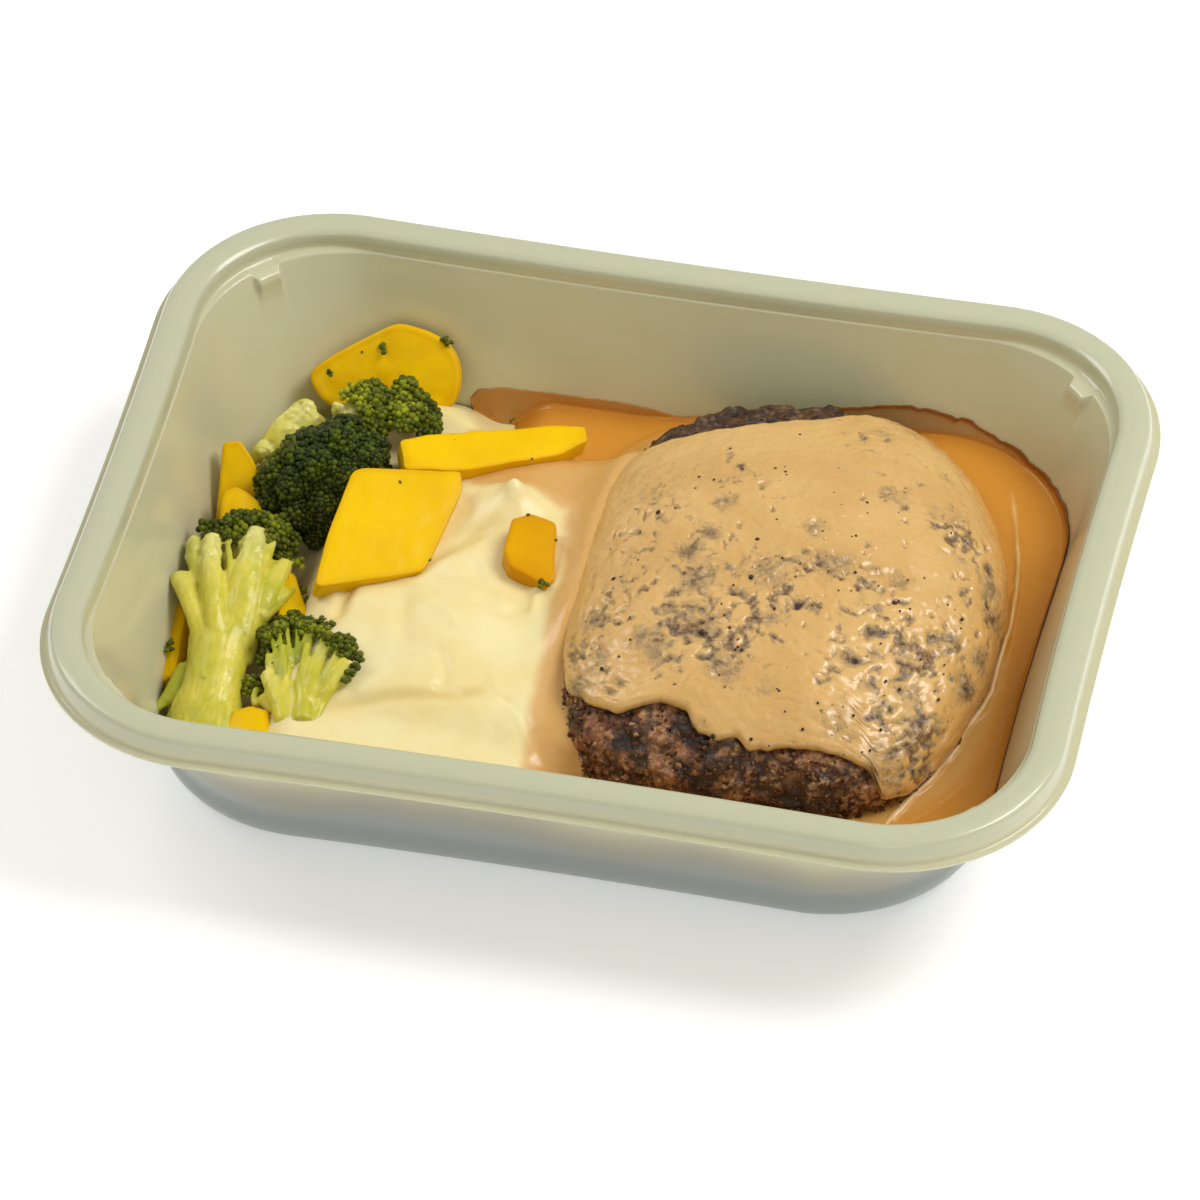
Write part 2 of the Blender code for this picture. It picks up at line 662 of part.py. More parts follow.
def build_vegetables(model, cutters, cavity, carrot, buds, stalk):
    """All carrots and broccoli, cut round each other from the ones on top down. Returns their clearance hulls."""
    pieces = [build_carrot(name, collection=model, material=carrot, **shape) for name, shape in CARROTS.items()]
    pieces.append(build_big_crown(model, buds))
    for name, shape in SMALL_HEADS.items():
        pieces.append(build_small_head(name, collection=model, material=buds, **shape))
    runs = [branch(*run, model, sides=8) for run in OFFCUT_RUNS]
    pieces.append(fuse("broccoli_offcut", runs, model, stalk))
    for name, shape in CUT_FLORETS.items():
        pieces.append(build_cut_floret(name, collection=model, material=stalk, **shape))
    hulls = {piece.name: grown_hull(piece, cutters) for piece in pieces}
    for name, neighbours in CUT_ROUND.items():
        cut(model.objects[name], [hulls[other] for other in neighbours])
    for piece in pieces:
        cut(piece, [cavity], "INTERSECT")
    return list(hulls.values())


def build_mash(model, cutters, inside, outside, material):
    """The mashed potato, and a slightly larger block that keeps the sauce pool clear of it."""
    ranges = ((-97.0, MASH_RIGHT_EDGE / MM), (-72.0, 72.0))
    mash = height_block("mashed_potato", mash_height, *ranges, MASH_GRID, 0.0, model)
    cut(mash, inside, "INTERSECT")
    cut(mash, outside)
    dress_block(mash, material)
    space = height_block("mash_space", mash_height, *ranges, MASH_GRID, 2 * GAP / MM, cutters)
    hide_cutter(space)
    return space


def build_sauce_pool(model, inside, outside, material):
    """The loose sauce round the steak, level in front and banked up in the back right corner."""
    ranges = ((SAUCE_LEFT_END / MM, 100.0), (-72.0, 76.0))
    sauce = height_block("sauce_pool", sauce_height, *ranges, SAUCE_GRID, 0.0, model)
    cut(sauce, inside, "INTERSECT")
    cut(sauce, outside)
    dress_block(sauce, material)


def dress_block(obj, material):
    obj.data.materials.clear()
    obj.data.materials.append(material)
    obj.data.shade_smooth()
    obj.data.set_sharp_from_angle(angle=math.radians(60))


def main():
    for obj in list(bpy.data.objects):
        bpy.data.objects.remove(obj)
    model = new_collection("airline_meal_tray")
    cutters = new_collection("cutters")

    plastic = make_material("sage plastic", (0.55, 0.57, 0.44), 0.28)
    meat = make_material("browned mince", (0.09, 0.035, 0.018), 0.55)
    cream = make_material("cream sauce", (0.72, 0.42, 0.16), 0.25)
    pool = make_material("sauce pool", (0.62, 0.30, 0.08), 0.25)
    potato = make_material("mashed potato", (0.85, 0.75, 0.42), 0.4)
    carrot = make_material("yellow carrot", (0.87, 0.58, 0.01), 0.35)
    buds = make_material("broccoli buds", (0.035, 0.055, 0.012), 0.5)
    stalk = make_material("broccoli stalk", (0.55, 0.56, 0.10), 0.4)

    build_tray(model, plastic)
    cavity = build_cavity(cutters)

    build_steak(model, meat)
    build_coat(model, cream)
    steak_space = add_object("steak_space", steak_bmesh(STEAK_AROUND, STEAK_LEVELS, grow=1.5 * GAP), cutters)
    hide_cutter(steak_space)

    hulls = build_vegetables(model, cutters, cavity, carrot, buds, stalk)
    mash_space = build_mash(model, cutters, [cavity], [steak_space] + hulls, potato)
    build_sauce_pool(model, [cavity], [steak_space, mash_space], pool)


main()
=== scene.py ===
"""Looks for the airline meal tray: a sage plastic tray with a sauced hamburger steak, mash and vegetables.

Run by Blender as a script. Sizes are in millimetres unless a name says otherwise, and become metres in fill_mesh.
"""
import math

import bpy
import numpy as np
from mathutils import Matrix


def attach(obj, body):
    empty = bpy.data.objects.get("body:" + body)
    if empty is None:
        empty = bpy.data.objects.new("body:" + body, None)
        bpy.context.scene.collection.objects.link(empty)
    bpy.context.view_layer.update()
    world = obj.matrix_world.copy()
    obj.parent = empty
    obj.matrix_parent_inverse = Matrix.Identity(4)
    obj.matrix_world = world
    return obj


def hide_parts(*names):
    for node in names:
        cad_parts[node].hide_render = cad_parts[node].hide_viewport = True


bl_info = {
    "name": "Airline meal tray",
    "version": (1, 0, 0),
    "blender": (4, 5, 0),
    "location": "3D View > Sidebar > Meal tray",
    "description": "Builds a plastic meal tray with steak in cream sauce, mashed potato, carrots and broccoli",
    "category": "Add Mesh",
}

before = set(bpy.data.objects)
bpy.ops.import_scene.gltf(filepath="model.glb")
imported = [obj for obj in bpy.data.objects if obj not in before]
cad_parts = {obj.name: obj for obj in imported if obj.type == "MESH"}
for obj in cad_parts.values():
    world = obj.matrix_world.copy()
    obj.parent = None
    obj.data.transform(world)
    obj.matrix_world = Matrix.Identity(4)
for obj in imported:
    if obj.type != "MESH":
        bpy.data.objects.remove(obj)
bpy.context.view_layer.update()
MM = 0.001
FLOOR_REACH = 4000.0

# Camera, fitted to the tray's outlines in the photograph
PHOTO_SIZE = 1200
CAMERA_AZIMUTH = math.radians(12.925)
CAMERA_ELEVATION = math.radians(43.675)
CAMERA_ROLL = math.radians(-0.674)
CAMERA_DISTANCE = 2371.05
CAMERA_TARGET = np.array((3.19, -19.82, 40.8))
FOCAL_PIXELS = 11075.56
SENSOR = 36.0

# Tray
TRAY_LENGTH = 227.0
TRAY_WIDTH = 178.0
SIDE_BOW = 2.1
RIM_CORNER = 42.0
BODY_CORNER = 36.0
BASE_CORNER = 38.5
LEDGE_INSET = 10.5
LEDGE_HEIGHT = 41.4
LUG_DEPTH = 2.0
LUG_BOTTOM = 31.0
LUG_START = 38.5
LUG_END = 51.5
BASE_INSET = 27.5
BASE_EDGE_RADIUS = 7.1
FLOOR = 1.3
WALL_FOOT = 9.9
ROOM_CLEARANCE = 0.25
ROOM_HEIGHTS = (FLOOR, 4.0, WALL_FOOT, 40.0)
# Inset and height from the outer lip over the rim
RIM_PROFILE = (
    (0.0, 40.9), (1.35, 41.05), (1.75, 43.0), (2.2, 45.0), (2.9, 45.75), (4.4, 46.1), (5.6, 46.2), (8.0, 46.0),
    (9.3, 45.3), (9.75, 43.9), (10.05, 42.0),
)

# Steak
STEAK_CENTRE = (38.5, 8.5)
STEAK_HALF_WIDTH = 45.0
STEAK_HALF_DEPTH = 58.8
STEAK_WAIST = 16.0
STEAK_TOP = 36.0
STEAK_BOTTOM = 1.25
STEAK_ROUNDING = 2.4

# Carrots: plan corners of the upper face, height at the first corner, slopes, thickness and edge rounding
CARROTS = {
    "carrot_wedge": dict(corners=((-80.5, 56.7), (-77.9, 59.4), (-63.5, 66.5), (-60.2, 67.2), (-52.1, 66.5),
                                  (-48.4, 64.8), (-46.4, 61.2), (-47.5, 56.0), (-60.0, 52.5), (-75.4, 52.9)),
                         height=21.0, slope=(-0.09, 1.14), thickness=6.0, edge=0.8, lumps=0.8, soft=0.45),
    "carrot_strip": dict(corners=((-53.2, 32.1), (-47.4, 36.2), (-21.4, 49.8), (-16.0, 51.2),
                                  (-14.6, 47.7), (-19.6, 41.8), (-37.1, 30.3), (-50.6, 24.8)),
                         height=29.5, slope=(-0.23, 0.12), thickness=5.0, edge=0.35),
    "carrot_diamond": dict(corners=((-59.9, 17.8), (-38.2, 25.6), (-36.6, 21.3), (-40.3, 0.0),
                                    (-47.0, -4.4), (-61.8, -12.5), (-61.7, 1.6)),
                           height=33.0, slope=(-0.27, 0.28), thickness=6.0, edge=0.35),
    "carrot_chip": dict(corners=((-24.1, 14.5), (-20.7, 17.2), (-14.7, 16.3), (-11.6, 1.8),
                                 (-13.1, -1.2), (-21.8, 2.2), (-24.1, 5.6)),
                        height=28.0, slope=(-0.14, 0.15), thickness=6.0, edge=0.5),
    "carrot_left_back": dict(corners=((-92.1, 26.5), (-88.3, 27.8), (-85.7, 26.1),
                                      (-82.3, 22.7), (-82.5, 11.0), (-90.5, 9.0)),
                             height=26.0, slope=(-0.20, 0.94), thickness=5.0, edge=0.6),
    "carrot_left_front": dict(corners=((-88.9, 12.2), (-88.6, 14.6), (-86.4, 16.3), (-83.6, 16.0),
                                       (-75.8, 11.9), (-80.6, 5.5), (-87.8, 5.5)),
                              height=23.0, slope=(-0.25, 0.37), thickness=5.0, edge=0.6),
    "carrot_between": dict(corners=((-70.6, -2.3), (-68.3, -3.4), (-64.2, -11.3), (-64.0, -17.6), (-69.6, -17.6)),
                           height=19.4, slope=(-0.17, 0.14), thickness=5.0, edge=0.35),
    "carrot_shadow": dict(corners=((-94.2, -18.8), (-93.6, -12.8), (-90.0, -14.5), (-88.8, -32.0), (-92.5, -33.0)),
                          height=12.7, slope=(0.5, 0.3), thickness=4.0, edge=0.5),
    "carrot_front": dict(corners=((-73.6, -46.4), (-73.1, -42.9), (-69.4, -41.5),
                                  (-65.2, -42.4), (-62.9, -48.9), (-72.0, -51.5)),
                         height=13.6, slope=(0.13, 0.26), thickness=5.0, edge=0.6),
}

# Where the meat shows through the sauce: photograph pixel, radius in millimetres, strength
MEAT_PATCHES = (
    (710, 537, 3.0, 1.1), (689, 555, 4.0, 0.9), (700, 583, 6.5, 0.8), (669, 613, 2.5, 1.1), (689, 611, 2.2, 1.0),
    (697, 627, 4.5, 0.8), (645, 641, 4.5, 0.7), (655, 655, 3.5, 0.7), (595, 625, 5.0, 0.5), (573, 708, 4.0, 0.9),
    (620, 592, 4.5, 0.4), (771, 574, 7.0, 0.65), (835, 572, 4.5, 0.8), (812, 533, 3.0, 0.6), (797, 604, 1.6, 1.2),
    (771, 619, 4.0, 0.75), (725, 668, 6.0, 0.6), (872, 574, 3.0, 0.6), (894, 583, 3.5, 0.7), (894, 499, 4.0, 0.6),
    (880, 436, 3.5, 0.5), (814, 417, 5.0, 0.5), (741, 477, 4.0, 0.35), (850, 664, 2.2, 1.1), (874, 656, 2.2, 1.1),
    (872, 690, 2.5, 1.0), (908, 697, 4.5, 0.8), (917, 731, 5.0, 0.8), (880, 749, 4.0, 0.6), (839, 720, 4.0, 0.6),
    (986, 589, 3.0, 1.0), (990, 619, 4.5, 0.8), (962, 690, 4.5, 1.0), (950, 641, 3.0, 0.8), (947, 522, 4.0, 0.5),
    (947, 486, 2.5, 0.6), (887, 776, 4.0, 0.7), (655, 500, 9.0, 0.35), (723, 507, 2.5, 0.8), (764, 690, 3.5, 0.5),
    (580, 690, 5.5, 0.9), (932, 518, 3.0, 0.5), (648, 480, 6.0, 0.3), (640, 560, 6.0, 0.3), (975, 660, 4.0, 0.7),
    (860, 600, 3.0, 0.4), (700, 480, 5.0, 0.25), (600, 660, 4.5, 0.55), (610, 560, 4.5, 0.35), (955, 560, 3.0, 0.5),
)

# Regions where grains of meat show often: photograph pixel, radius in millimetres, strength
MEAT_REGIONS = (
    (690, 580, 13, 0.34), (668, 630, 10, 0.36), (775, 590, 13, 0.32), (835, 570, 8, 0.30), (720, 660, 11, 0.28),
    (900, 500, 10, 0.24), (885, 450, 8, 0.22), (930, 640, 11, 0.40), (985, 620, 8, 0.52), (905, 700, 13, 0.42),
    (920, 755, 8, 0.46), (582, 655, 8, 0.44), (612, 600, 8, 0.28), (875, 590, 10, 0.26), (640, 505, 9, 0.20),
    (742, 475, 7, 0.22), (800, 420, 6, 0.24), (950, 540, 9, 0.32), (850, 650, 9, 0.24), (975, 560, 7, 0.40),
    (640, 690, 8, 0.20), (800, 700, 7, 0.16), (872, 780, 8, 0.34), (700, 505, 11, 0.26), (650, 545, 8, 0.24),
    (760, 640, 8, 0.16), (830, 630, 7, 0.14), (870, 720, 7, 0.16),
)

# Lower edge of the coat over the bare crust, in photograph pixels
COAT_EDGE_FRONT = (
    (566, 694), (580, 704), (600, 709), (622, 713), (640, 711), (662, 714), (682, 720), (700, 735), (718, 742),
    (735, 745), (748, 756), (762, 750), (790, 755), (820, 757), (850, 764), (868, 770), (876, 786), (882, 800),
)

# Its edge elsewhere, as directions in degrees from the steak's middle and heights
COAT_EDGE_SIDES = (
    (0, 16.5), (30, 19), (60, 20), (74, 22), (80, 25.0), (84, 27.8), (89, 29.6), (95, 30.5), (101, 31.0), (107, 31.3),
    (112, 31.4), (117, 31.3), (121, 31.1), (126, 30.8), (131, 30.0), (136, 28.5), (150, 23), (205, 22), (216, 23),
    (312, 14), (318, 12.5), (335, 13.5), (360, 16.5),
)

# Width of the cream that has run off the steak: directions in degrees, and millimetres
CREAM_WIDTHS = ((0, 30, 60, 90, 120, 180, 240, 280, 300, 320, 345, 360),
                (4.5, 4.0, 3.0, 3.5, 9.0, 14.0, 12.0, 5.0, 6.0, 8.5, 6.0, 4.5))

# Outline of the sauce that lies over the mash, in photograph pixels
SAUCE_OVER_MASH = (
    (452, 462), (474, 492), (505, 500), (532, 500), (566, 520), (562, 592), (548, 616), (543, 655), (530, 705),
    (514, 800), (640, 840), (700, 400), (560, 400), (470, 432),
)

# Creases in the mash: photograph pixels along each, width and depth in millimetres; and the pointed tip
MASH_CREASES = (
    (((352, 578), (343, 598), (336, 618)), 1.5, 1.6),
    (((497, 528), (455, 548), (425, 560), (405, 580)), 1.6, 1.1),
    (((330, 696), (385, 694), (450, 696), (480, 690)), 1.3, 0.9),
    (((436, 648), (446, 668), (444, 684), (432, 690)), 1.2, 0.8),
    (((404, 585), (402, 620), (408, 650)), 2.0, 0.7),
    (((470, 600), (500, 615), (530, 605)), 1.8, 0.8),
    (((500, 690), (520, 712), (530, 740)), 1.5, 0.9),
    (((470, 560), (480, 585), (500, 600)), 1.6, 0.7),
    (((541, 560), (537, 590), (531, 625)), 1.0, -0.9),
    (((502, 700), (518, 712), (530, 742)), 0.9, -0.8),
    (((486, 668), (500, 690), (520, 700)), 0.9, -0.5),
    (((420, 600), (440, 612), (466, 640)), 1.2, -0.5),
)
MASH_TIP = (515, 492)

# Where the cream that has run off ends in the pool, in photograph pixels
CREAM_LINE = (
    (1012, 505), (1016, 540), (1018, 575), (1016, 604), (1010, 635), (999, 664), (992, 690), (984, 705), (965, 727),
    (956, 745), (943, 761), (930, 778), (913, 791), (900, 806), (887, 820),
)

# Upper edge of the sauce film on the wall, in photograph pixels
WALL_FILM = (
    (470, 397), (478, 389), (500, 388), (530, 391), (560, 394), (590, 398), (620, 402), (655, 409), (690, 420),
    (858, 405), (872, 405), (893, 404), (925, 408), (945, 413), (957, 420), (963, 417), (985, 428), (1003, 440),
    (1030, 461), (1046, 476), (1058, 491), (1065, 508), (1069, 530), (1070, 552), (1066, 585), (1058, 616),
    (1049, 645), (1040, 672), (1031, 700), (1023, 730), (1014, 760), (1004, 790),
)

# The crown of broccoli
CROWN_CENTRE = np.array((-69.7, 26.0, 20.0))
CROWN_RADIUS = 16.5
CROWN_AXIS = (0.1, -0.35, 1.0)
CROWN_HOLLOW = np.array((-0.66, 0.50, 0.56))

# Florets on their side. Each stem runs through photograph pixels, given as x, y, radius in pixels and height in
# millimetres. Cut stems are pale and torn at their end, green ones are young skin
PIXELS_PER_MM = 4.67
LONG_STEMS = (
    dict(run=((206, 745, 43, 8), (207, 715, 39, 10), (212, 690, 31, 12.5), (217, 662, 31, 14), (223, 632, 33, 15.5),
              (230, 605, 27, 17), (234, 585, 20, 18)), flat=0.74),
    dict(run=((150, 714, 3, 10), (160, 705, 6, 10.5), (172, 693, 9, 11.5), (188, 668, 12, 13)), green=0.7, flat=0.6),
    dict(run=((170, 740, 12, 8.5), (178, 722, 14, 10), (186, 704, 12, 11.5)), green=0.9, flat=0.6),
    dict(run=((212, 668, 14, 13.5), (201, 636, 10, 17.5), (191, 606, 9, 20), (184, 588, 10, 21), (180, 576, 12, 21)),
         cut=0.25, flat=0.7),
    dict(run=((210, 646, 9, 14.5), (202, 600, 7, 18.5), (198, 575, 9, 20.5), (194, 552, 10, 21.5),
              (194, 541, 9, 21.5)),
         cut=0.75, green=0.15),
    dict(run=((203, 612, 4, 19.5), (199, 585, 4, 20.5), (197, 562, 4, 21.5)), green=0.7),
    dict(run=((220, 664, 14, 14), (215, 618, 13, 19.3), (212, 580, 12, 22), (211, 555, 11, 23), (213, 536, 9, 23.5)),
         cut=1.0),
    dict(run=((220, 600, 5, 21), (223, 586, 4, 21.5), (223, 578, 3, 21.5)), cut=0.6),
    dict(run=((234, 662, 20, 13), (241, 618, 23, 17.5), (246, 588, 20, 20.5), (249, 566, 15, 22), (254, 545, 12, 23),
              (258, 530, 10, 23)), cut=1.0, flat=0.8),
    dict(run=((249, 566, 6, 22), (243, 550, 5, 22), (241, 538, 3.5, 22)), cut=0.8),
    dict(run=((254, 552, 6, 22), (263, 540, 5, 22), (268, 529, 4, 21.5)), cut=0.6),
    dict(run=((228, 602, 4, 20), (226, 580, 3, 20), (223, 560, 2.6, 20), (219, 545, 2.2, 19.5)), green=0.35),
    dict(run=((236, 590, 4, 20.5), (231, 570, 3, 20.5), (227, 553, 2.6, 20), (224, 540, 2.4, 19)), green=0.35),
    dict(run=((238, 582, 4, 19.5), (234, 560, 3.4, 19.5), (232, 545, 3, 19), (230, 530, 2.6, 18)), green=0.75),
    dict(run=((241, 578, 4, 20.5), (238, 560, 3, 20.5), (236, 545, 2.6, 20.5), (234, 534, 2.4, 20)), green=0.5),
    dict(run=((246, 640, 14, 14), (263, 606, 13, 18.5), (273, 588, 11, 19.5), (281, 572, 9, 20), (286, 563, 8, 20)),
         green=0.12, cut=0.2),
    dict(run=((260, 618, 9, 18), (275, 603, 8, 18.5), (287, 594, 6, 18.5), (295, 589, 3, 18)), green=0.2),
    dict(run=((286, 566, 4, 19.5), (292, 563, 3, 19), (298, 563, 3, 18.5)), green=0.6),
    dict(run=((272, 585, 4, 19), (271, 572, 3.5, 18), (270, 560, 3, 17)), green=0.9),
    dict(run=((230, 580, 5, 21.5), (230, 560, 4, 22.5), (228, 545, 3.4, 23), (230, 534, 3, 23)), cut=0.5, green=0.3),
    dict(run=((205, 580, 6, 21), (204, 565, 5, 22), (203, 550, 4, 22.3)), cut=0.8),
    dict(run=((256, 575, 8, 21.5), (264, 560, 7, 22), (270, 548, 5, 22), (276, 540, 3.4, 21.5)), cut=0.7),
    dict(run=((262, 590, 7, 20.5), (270, 575, 6, 20.5), (276, 562, 4, 20)), green=0.3),
)
LONG_HEADS = (
    (207, 529, 7, 23, 0.1), (214, 527, 7, 23.5, 0.05), (221, 530, 6, 23.5, 0.1), (226, 536, 8, 23, 0.1),
    (228, 526, 8, 23.5, 0.1), (236, 523, 9, 23.5, 0.1), (246, 520, 9, 23.5, 0.1), (253, 518, 7, 23, 0.1),
    (262, 521, 8, 22.5, 0.15), (241, 532, 7, 23, 0.3), (272, 526, 9, 22, 0.35), (281, 524, 7, 21.5, 0.2),
    (236, 540, 6, 22, 0.2), (262, 536, 6, 22, 0.3), (266, 546, 6, 21.5, 0.2), (206, 537, 5, 22.5, 0.1),
    (282, 535, 10, 20.5, 0.25), (270, 540, 8, 20, 0.2), (277, 548, 12, 19.5, 0.1), (288, 549, 8, 19, 0.1),
    (284, 560, 7, 18.5, 0.2), (292, 540, 6, 19.5, 0.1), (266, 562, 8, 14.5, 0.1), (262, 574, 8, 13.5, 0.1),
    (228, 548, 8, 16, 0.15), (226, 562, 7, 15, 0.1), (224, 574, 5, 14, 0.15), (243, 548, 6, 17, 0.2),
    (298, 563, 4, 18.5, 0.6),
)
BACK_LEFT_STEMS = (
    dict(run=((352, 440, 12, 13), (352, 425, 14, 20), (350, 408, 13, 26.5)), cut=1.0),
    dict(run=((366, 436, 9, 16), (372, 420, 9, 22), (376, 404, 8, 26)), cut=0.5),
    dict(run=((344, 425, 8, 21), (340, 410, 9, 25.5), (342, 402, 8, 27)), cut=1.0),
)
BACK_LEFT_HEADS = (
    (347, 396, 6, 28, 1.0), (356, 391, 7, 28.5, 0.8), (364, 389, 8, 28.5, 0.5), (373, 389, 8, 28.5, 0.3),
    (381, 395, 8, 28, 0.15), (386, 405, 8, 27.5, 0.1), (375, 402, 9, 29, 0.25), (364, 401, 8, 29, 0.6),
    (387, 416, 8, 27, 0.1), (377, 416, 9, 28.5, 0.15), (366, 414, 8, 29, 0.4), (380, 428, 8, 27, 0.1),
    (369, 427, 8, 27.5, 0.2),
)
BACK_RIGHT_STEMS = (
    dict(run=((410, 446, 9, 14), (410, 430, 10, 20), (410, 412, 10, 26)), green=0.5),
    dict(run=((404, 412, 5, 26), (400, 402, 4, 28.3), (402, 394, 3, 29)), green=0.2),
    dict(run=((412, 414, 5, 26), (418, 406, 4, 28.3), (424, 402, 3, 28.8)), green=0.3),
)
BACK_RIGHT_HEADS = (
    (394, 396, 6, 28, 0.4), (400, 388, 7, 28.5, 0.4), (408, 383, 6, 28.5, 0.2), (413, 391, 7, 29, 0.4),
    (404, 400, 6, 29, 0.7), (421, 400, 7, 28.5, 0.3), (429, 407, 7, 28, 0.2), (417, 411, 7, 29, 0.5),
    (402, 414, 7, 29, 0.6), (434, 416, 7, 27, 0.1), (425, 421, 7, 28, 0.2), (411, 425, 8, 28, 0.3),
    (396, 424, 7, 28, 0.3), (435, 429, 6, 26.5, 0.1), (394, 409, 7, 28.5, 0.5), (424, 433, 6, 26.5, 0.1),
)
FRONT_STEMS = (
    dict(run=((295, 752, 21, 12), (296, 728, 22, 14), (297, 706, 25, 15), (298, 692, 24, 15.5)), flat=0.7),
    dict(run=((284, 722, 9, 15.5), (278, 702, 9, 16.5), (272, 686, 9, 17.5), (266, 673, 8, 18)), cut=0.5),
    dict(run=((268, 676, 4, 18), (268, 664, 3.4, 19), (268, 654, 3, 19.5)), green=0.5),
    dict(run=((276, 682, 4, 18), (277, 666, 3.4, 19), (275, 650, 3, 19.5)), green=0.7),
    dict(run=((284, 700, 7, 17), (284, 684, 6, 18), (284, 664, 4, 19.5), (283, 645, 3.4, 20)), green=0.5),
    dict(run=((262, 695, 5, 16), (266, 702, 6, 15), (274, 712, 7, 14)), cut=0.6),
    dict(run=((303, 722, 11, 17), (303, 702, 9, 18), (302, 684, 8, 19), (304, 664, 5, 20), (308, 644, 4, 20.5)),
         green=0.4),
    dict(run=((308, 706, 10, 17), (312, 686, 11, 19), (316, 668, 10, 20), (322, 654, 8, 20.5), (328, 644, 5, 20.5)),
         cut=0.7, green=0.1),
    dict(run=((312, 730, 7, 16), (322, 704, 6, 18), (332, 686, 6, 20.5), (343, 670, 5, 22.5), (352, 662, 4, 23.3)),
         cut=0.35),
    dict(run=((310, 708, 5, 17), (321, 690, 5, 19.5), (332, 674, 5, 22), (345, 660, 4, 23.5)), green=0.15),
    dict(run=((316, 690, 5, 19), (326, 672, 5, 21.5), (334, 660, 4, 23), (340, 650, 4, 23.5)), green=0.3),
    dict(run=((320, 686, 4, 19.5), (332, 666, 3, 22), (346, 657, 3, 23.8)), green=0.5),
    dict(run=((328, 700, 5, 17.5), (338, 688, 4, 19.5), (346, 679, 3, 21.5)), cut=0.2),
    dict(run=((256, 706, 4, 14), (254, 697, 4, 14.5), (258, 688, 4, 15)), green=0.3),
)
FRONT_RIM = (
    (264, 634), (268, 630), (273, 628), (278, 626), (282, 622), (287, 619), (292, 618), (297, 617), (301, 621),
    (306, 624), (311, 622), (316, 623), (321, 625), (326, 626), (331, 630), (336, 637),
)
FRONT_HEADS = (
    (264, 634, 5, 20, 0.1), (270, 640, 6, 18, 0.1), (269, 650, 6, 16.5, 0.1), (263, 660, 6, 15, 0.1),
    (276, 634, 6, 18.5, 0.2), (339, 640, 6, 24, 0.15), (346, 642, 7, 24, 0.1), (351, 648, 6, 23.5, 0.1),
    (345, 651, 7, 24, 0.2), (338, 648, 6, 23.5, 0.2), (349, 656, 5, 23.5, 0.2), (358, 659, 4, 23.5, 0.1),
    (356, 667, 3.5, 23, 0.1), (351, 674, 3.5, 22.5, 0.1), (346, 681, 3, 22, 0.1), (253, 683, 7, 14, 0.3),
    (259, 690, 6, 14, 0.2), (249, 692, 6, 13, 0.3), (262, 680, 5, 14.5, 0.1), (268, 706, 6, 12, 0.1),
    (272, 715, 5, 12, 0.1),
)
OFFCUT_STEMS = (
    dict(run=((262, 462, 10, 14), (274, 447, 16, 17), (290, 430, 20, 19.5), (303, 418, 18, 21)), cut=1.0, flat=0.7),
    dict(run=((288, 452, 10, 15), (300, 436, 15, 18.5), (312, 420, 18, 21), (318, 414, 15, 22)), cut=1.0, flat=0.7),
    dict(run=((250, 464, 4, 16), (260, 452, 9, 18), (268, 446, 9, 19)), cut=0.9, flat=0.8),
    dict(run=((296, 410, 8, 21), (306, 407, 9, 22.5), (312, 410, 7, 23)), cut=0.9),
)

# Loose bits: photograph pixel, height in mm, width in mm, for each node that they lie on
GREEN_BITS = {
    "carrot_wedge": ((330, 373, None, 2.2), (381, 347, None, 2.6), (445, 341, None, 2.6), (362, 352, None, 0.7)),
    "carrot_chip": ((544, 583, None, 2.4), (528, 515, None, 0.8), (556, 540, None, 0.7)),
    "carrot_strip": ((532, 459, None, 0.7), (455, 440, None, 0.6)),
    "carrot_diamond": ((400, 482, None, 0.9), (372, 497, None, 0.6), (430, 560, None, 0.6)),
    "mashed_potato": ((584, 531, 20.5, 1.8), (487, 477, 19.5, 1.3), (478, 482, 19.5, 0.9), (512, 420, 18.0, 1.0),
                      (304, 590, 17.0, 2.0), (306, 600, 16.0, 1.6), (311, 608, 15.5, 1.4), (171, 648, 14.0, 2.0),
                      (171, 641, 14.5, 1.6), (536, 617, 18.5, 0.8), (500, 640, 20.0, 0.5), (560, 497, 20.0, 0.6)),
}


# Camera geometry

def camera_axes():
    """The camera's place and its right, up and backward directions, in millimetres in the row frame."""
    turn, lift, roll = CAMERA_AZIMUTH, CAMERA_ELEVATION, CAMERA_ROLL
    back = np.array((math.sin(turn) * math.cos(lift), -math.cos(turn) * math.cos(lift), math.sin(lift)))
    level = np.array((math.cos(turn), math.sin(turn), 0.0))
    tilted = np.cross(back, level)
    right = math.cos(roll) * level + math.sin(roll) * tilted
    up = -math.sin(roll) * level + math.cos(roll) * tilted
    return CAMERA_TARGET + back * CAMERA_DISTANCE, right, up, back


def photo_at_height(pixels, height):
    """Points at a height that show at photograph pixels. Height is one number or one for each pixel."""
    place, right, up, back = camera_axes()
    off = (np.atleast_2d(np.asarray(pixels, float))[:, :2] - PHOTO_SIZE / 2) / FOCAL_PIXELS
    ways = unit(off[:, :1] * right - off[:, 1:] * up - back)
    reach = (np.asarray(height, float) - place[2]) / ways[:, 2]
    return place + ways * reach[:, None]


def photo_path(pixels):
    """Points through photograph pixels that each carry a height last."""
    pixels = np.asarray(pixels, float)
    return photo_at_height(pixels[:, :2], pixels[:, -1])


def first_seen(pixels, heights, test):
    """For each photograph pixel the first of its points at these heights that passes a test, or the last point."""
    found = []
    for pixel in np.atleast_2d(np.asarray(pixels, float)):
        points = photo_at_height(np.repeat(pixel[None, :2], len(heights), axis=0), heights)
        passed = np.nonzero(test(points))[0]
        found.append(points[passed[0] if len(passed) else -1])
    return np.array(found)


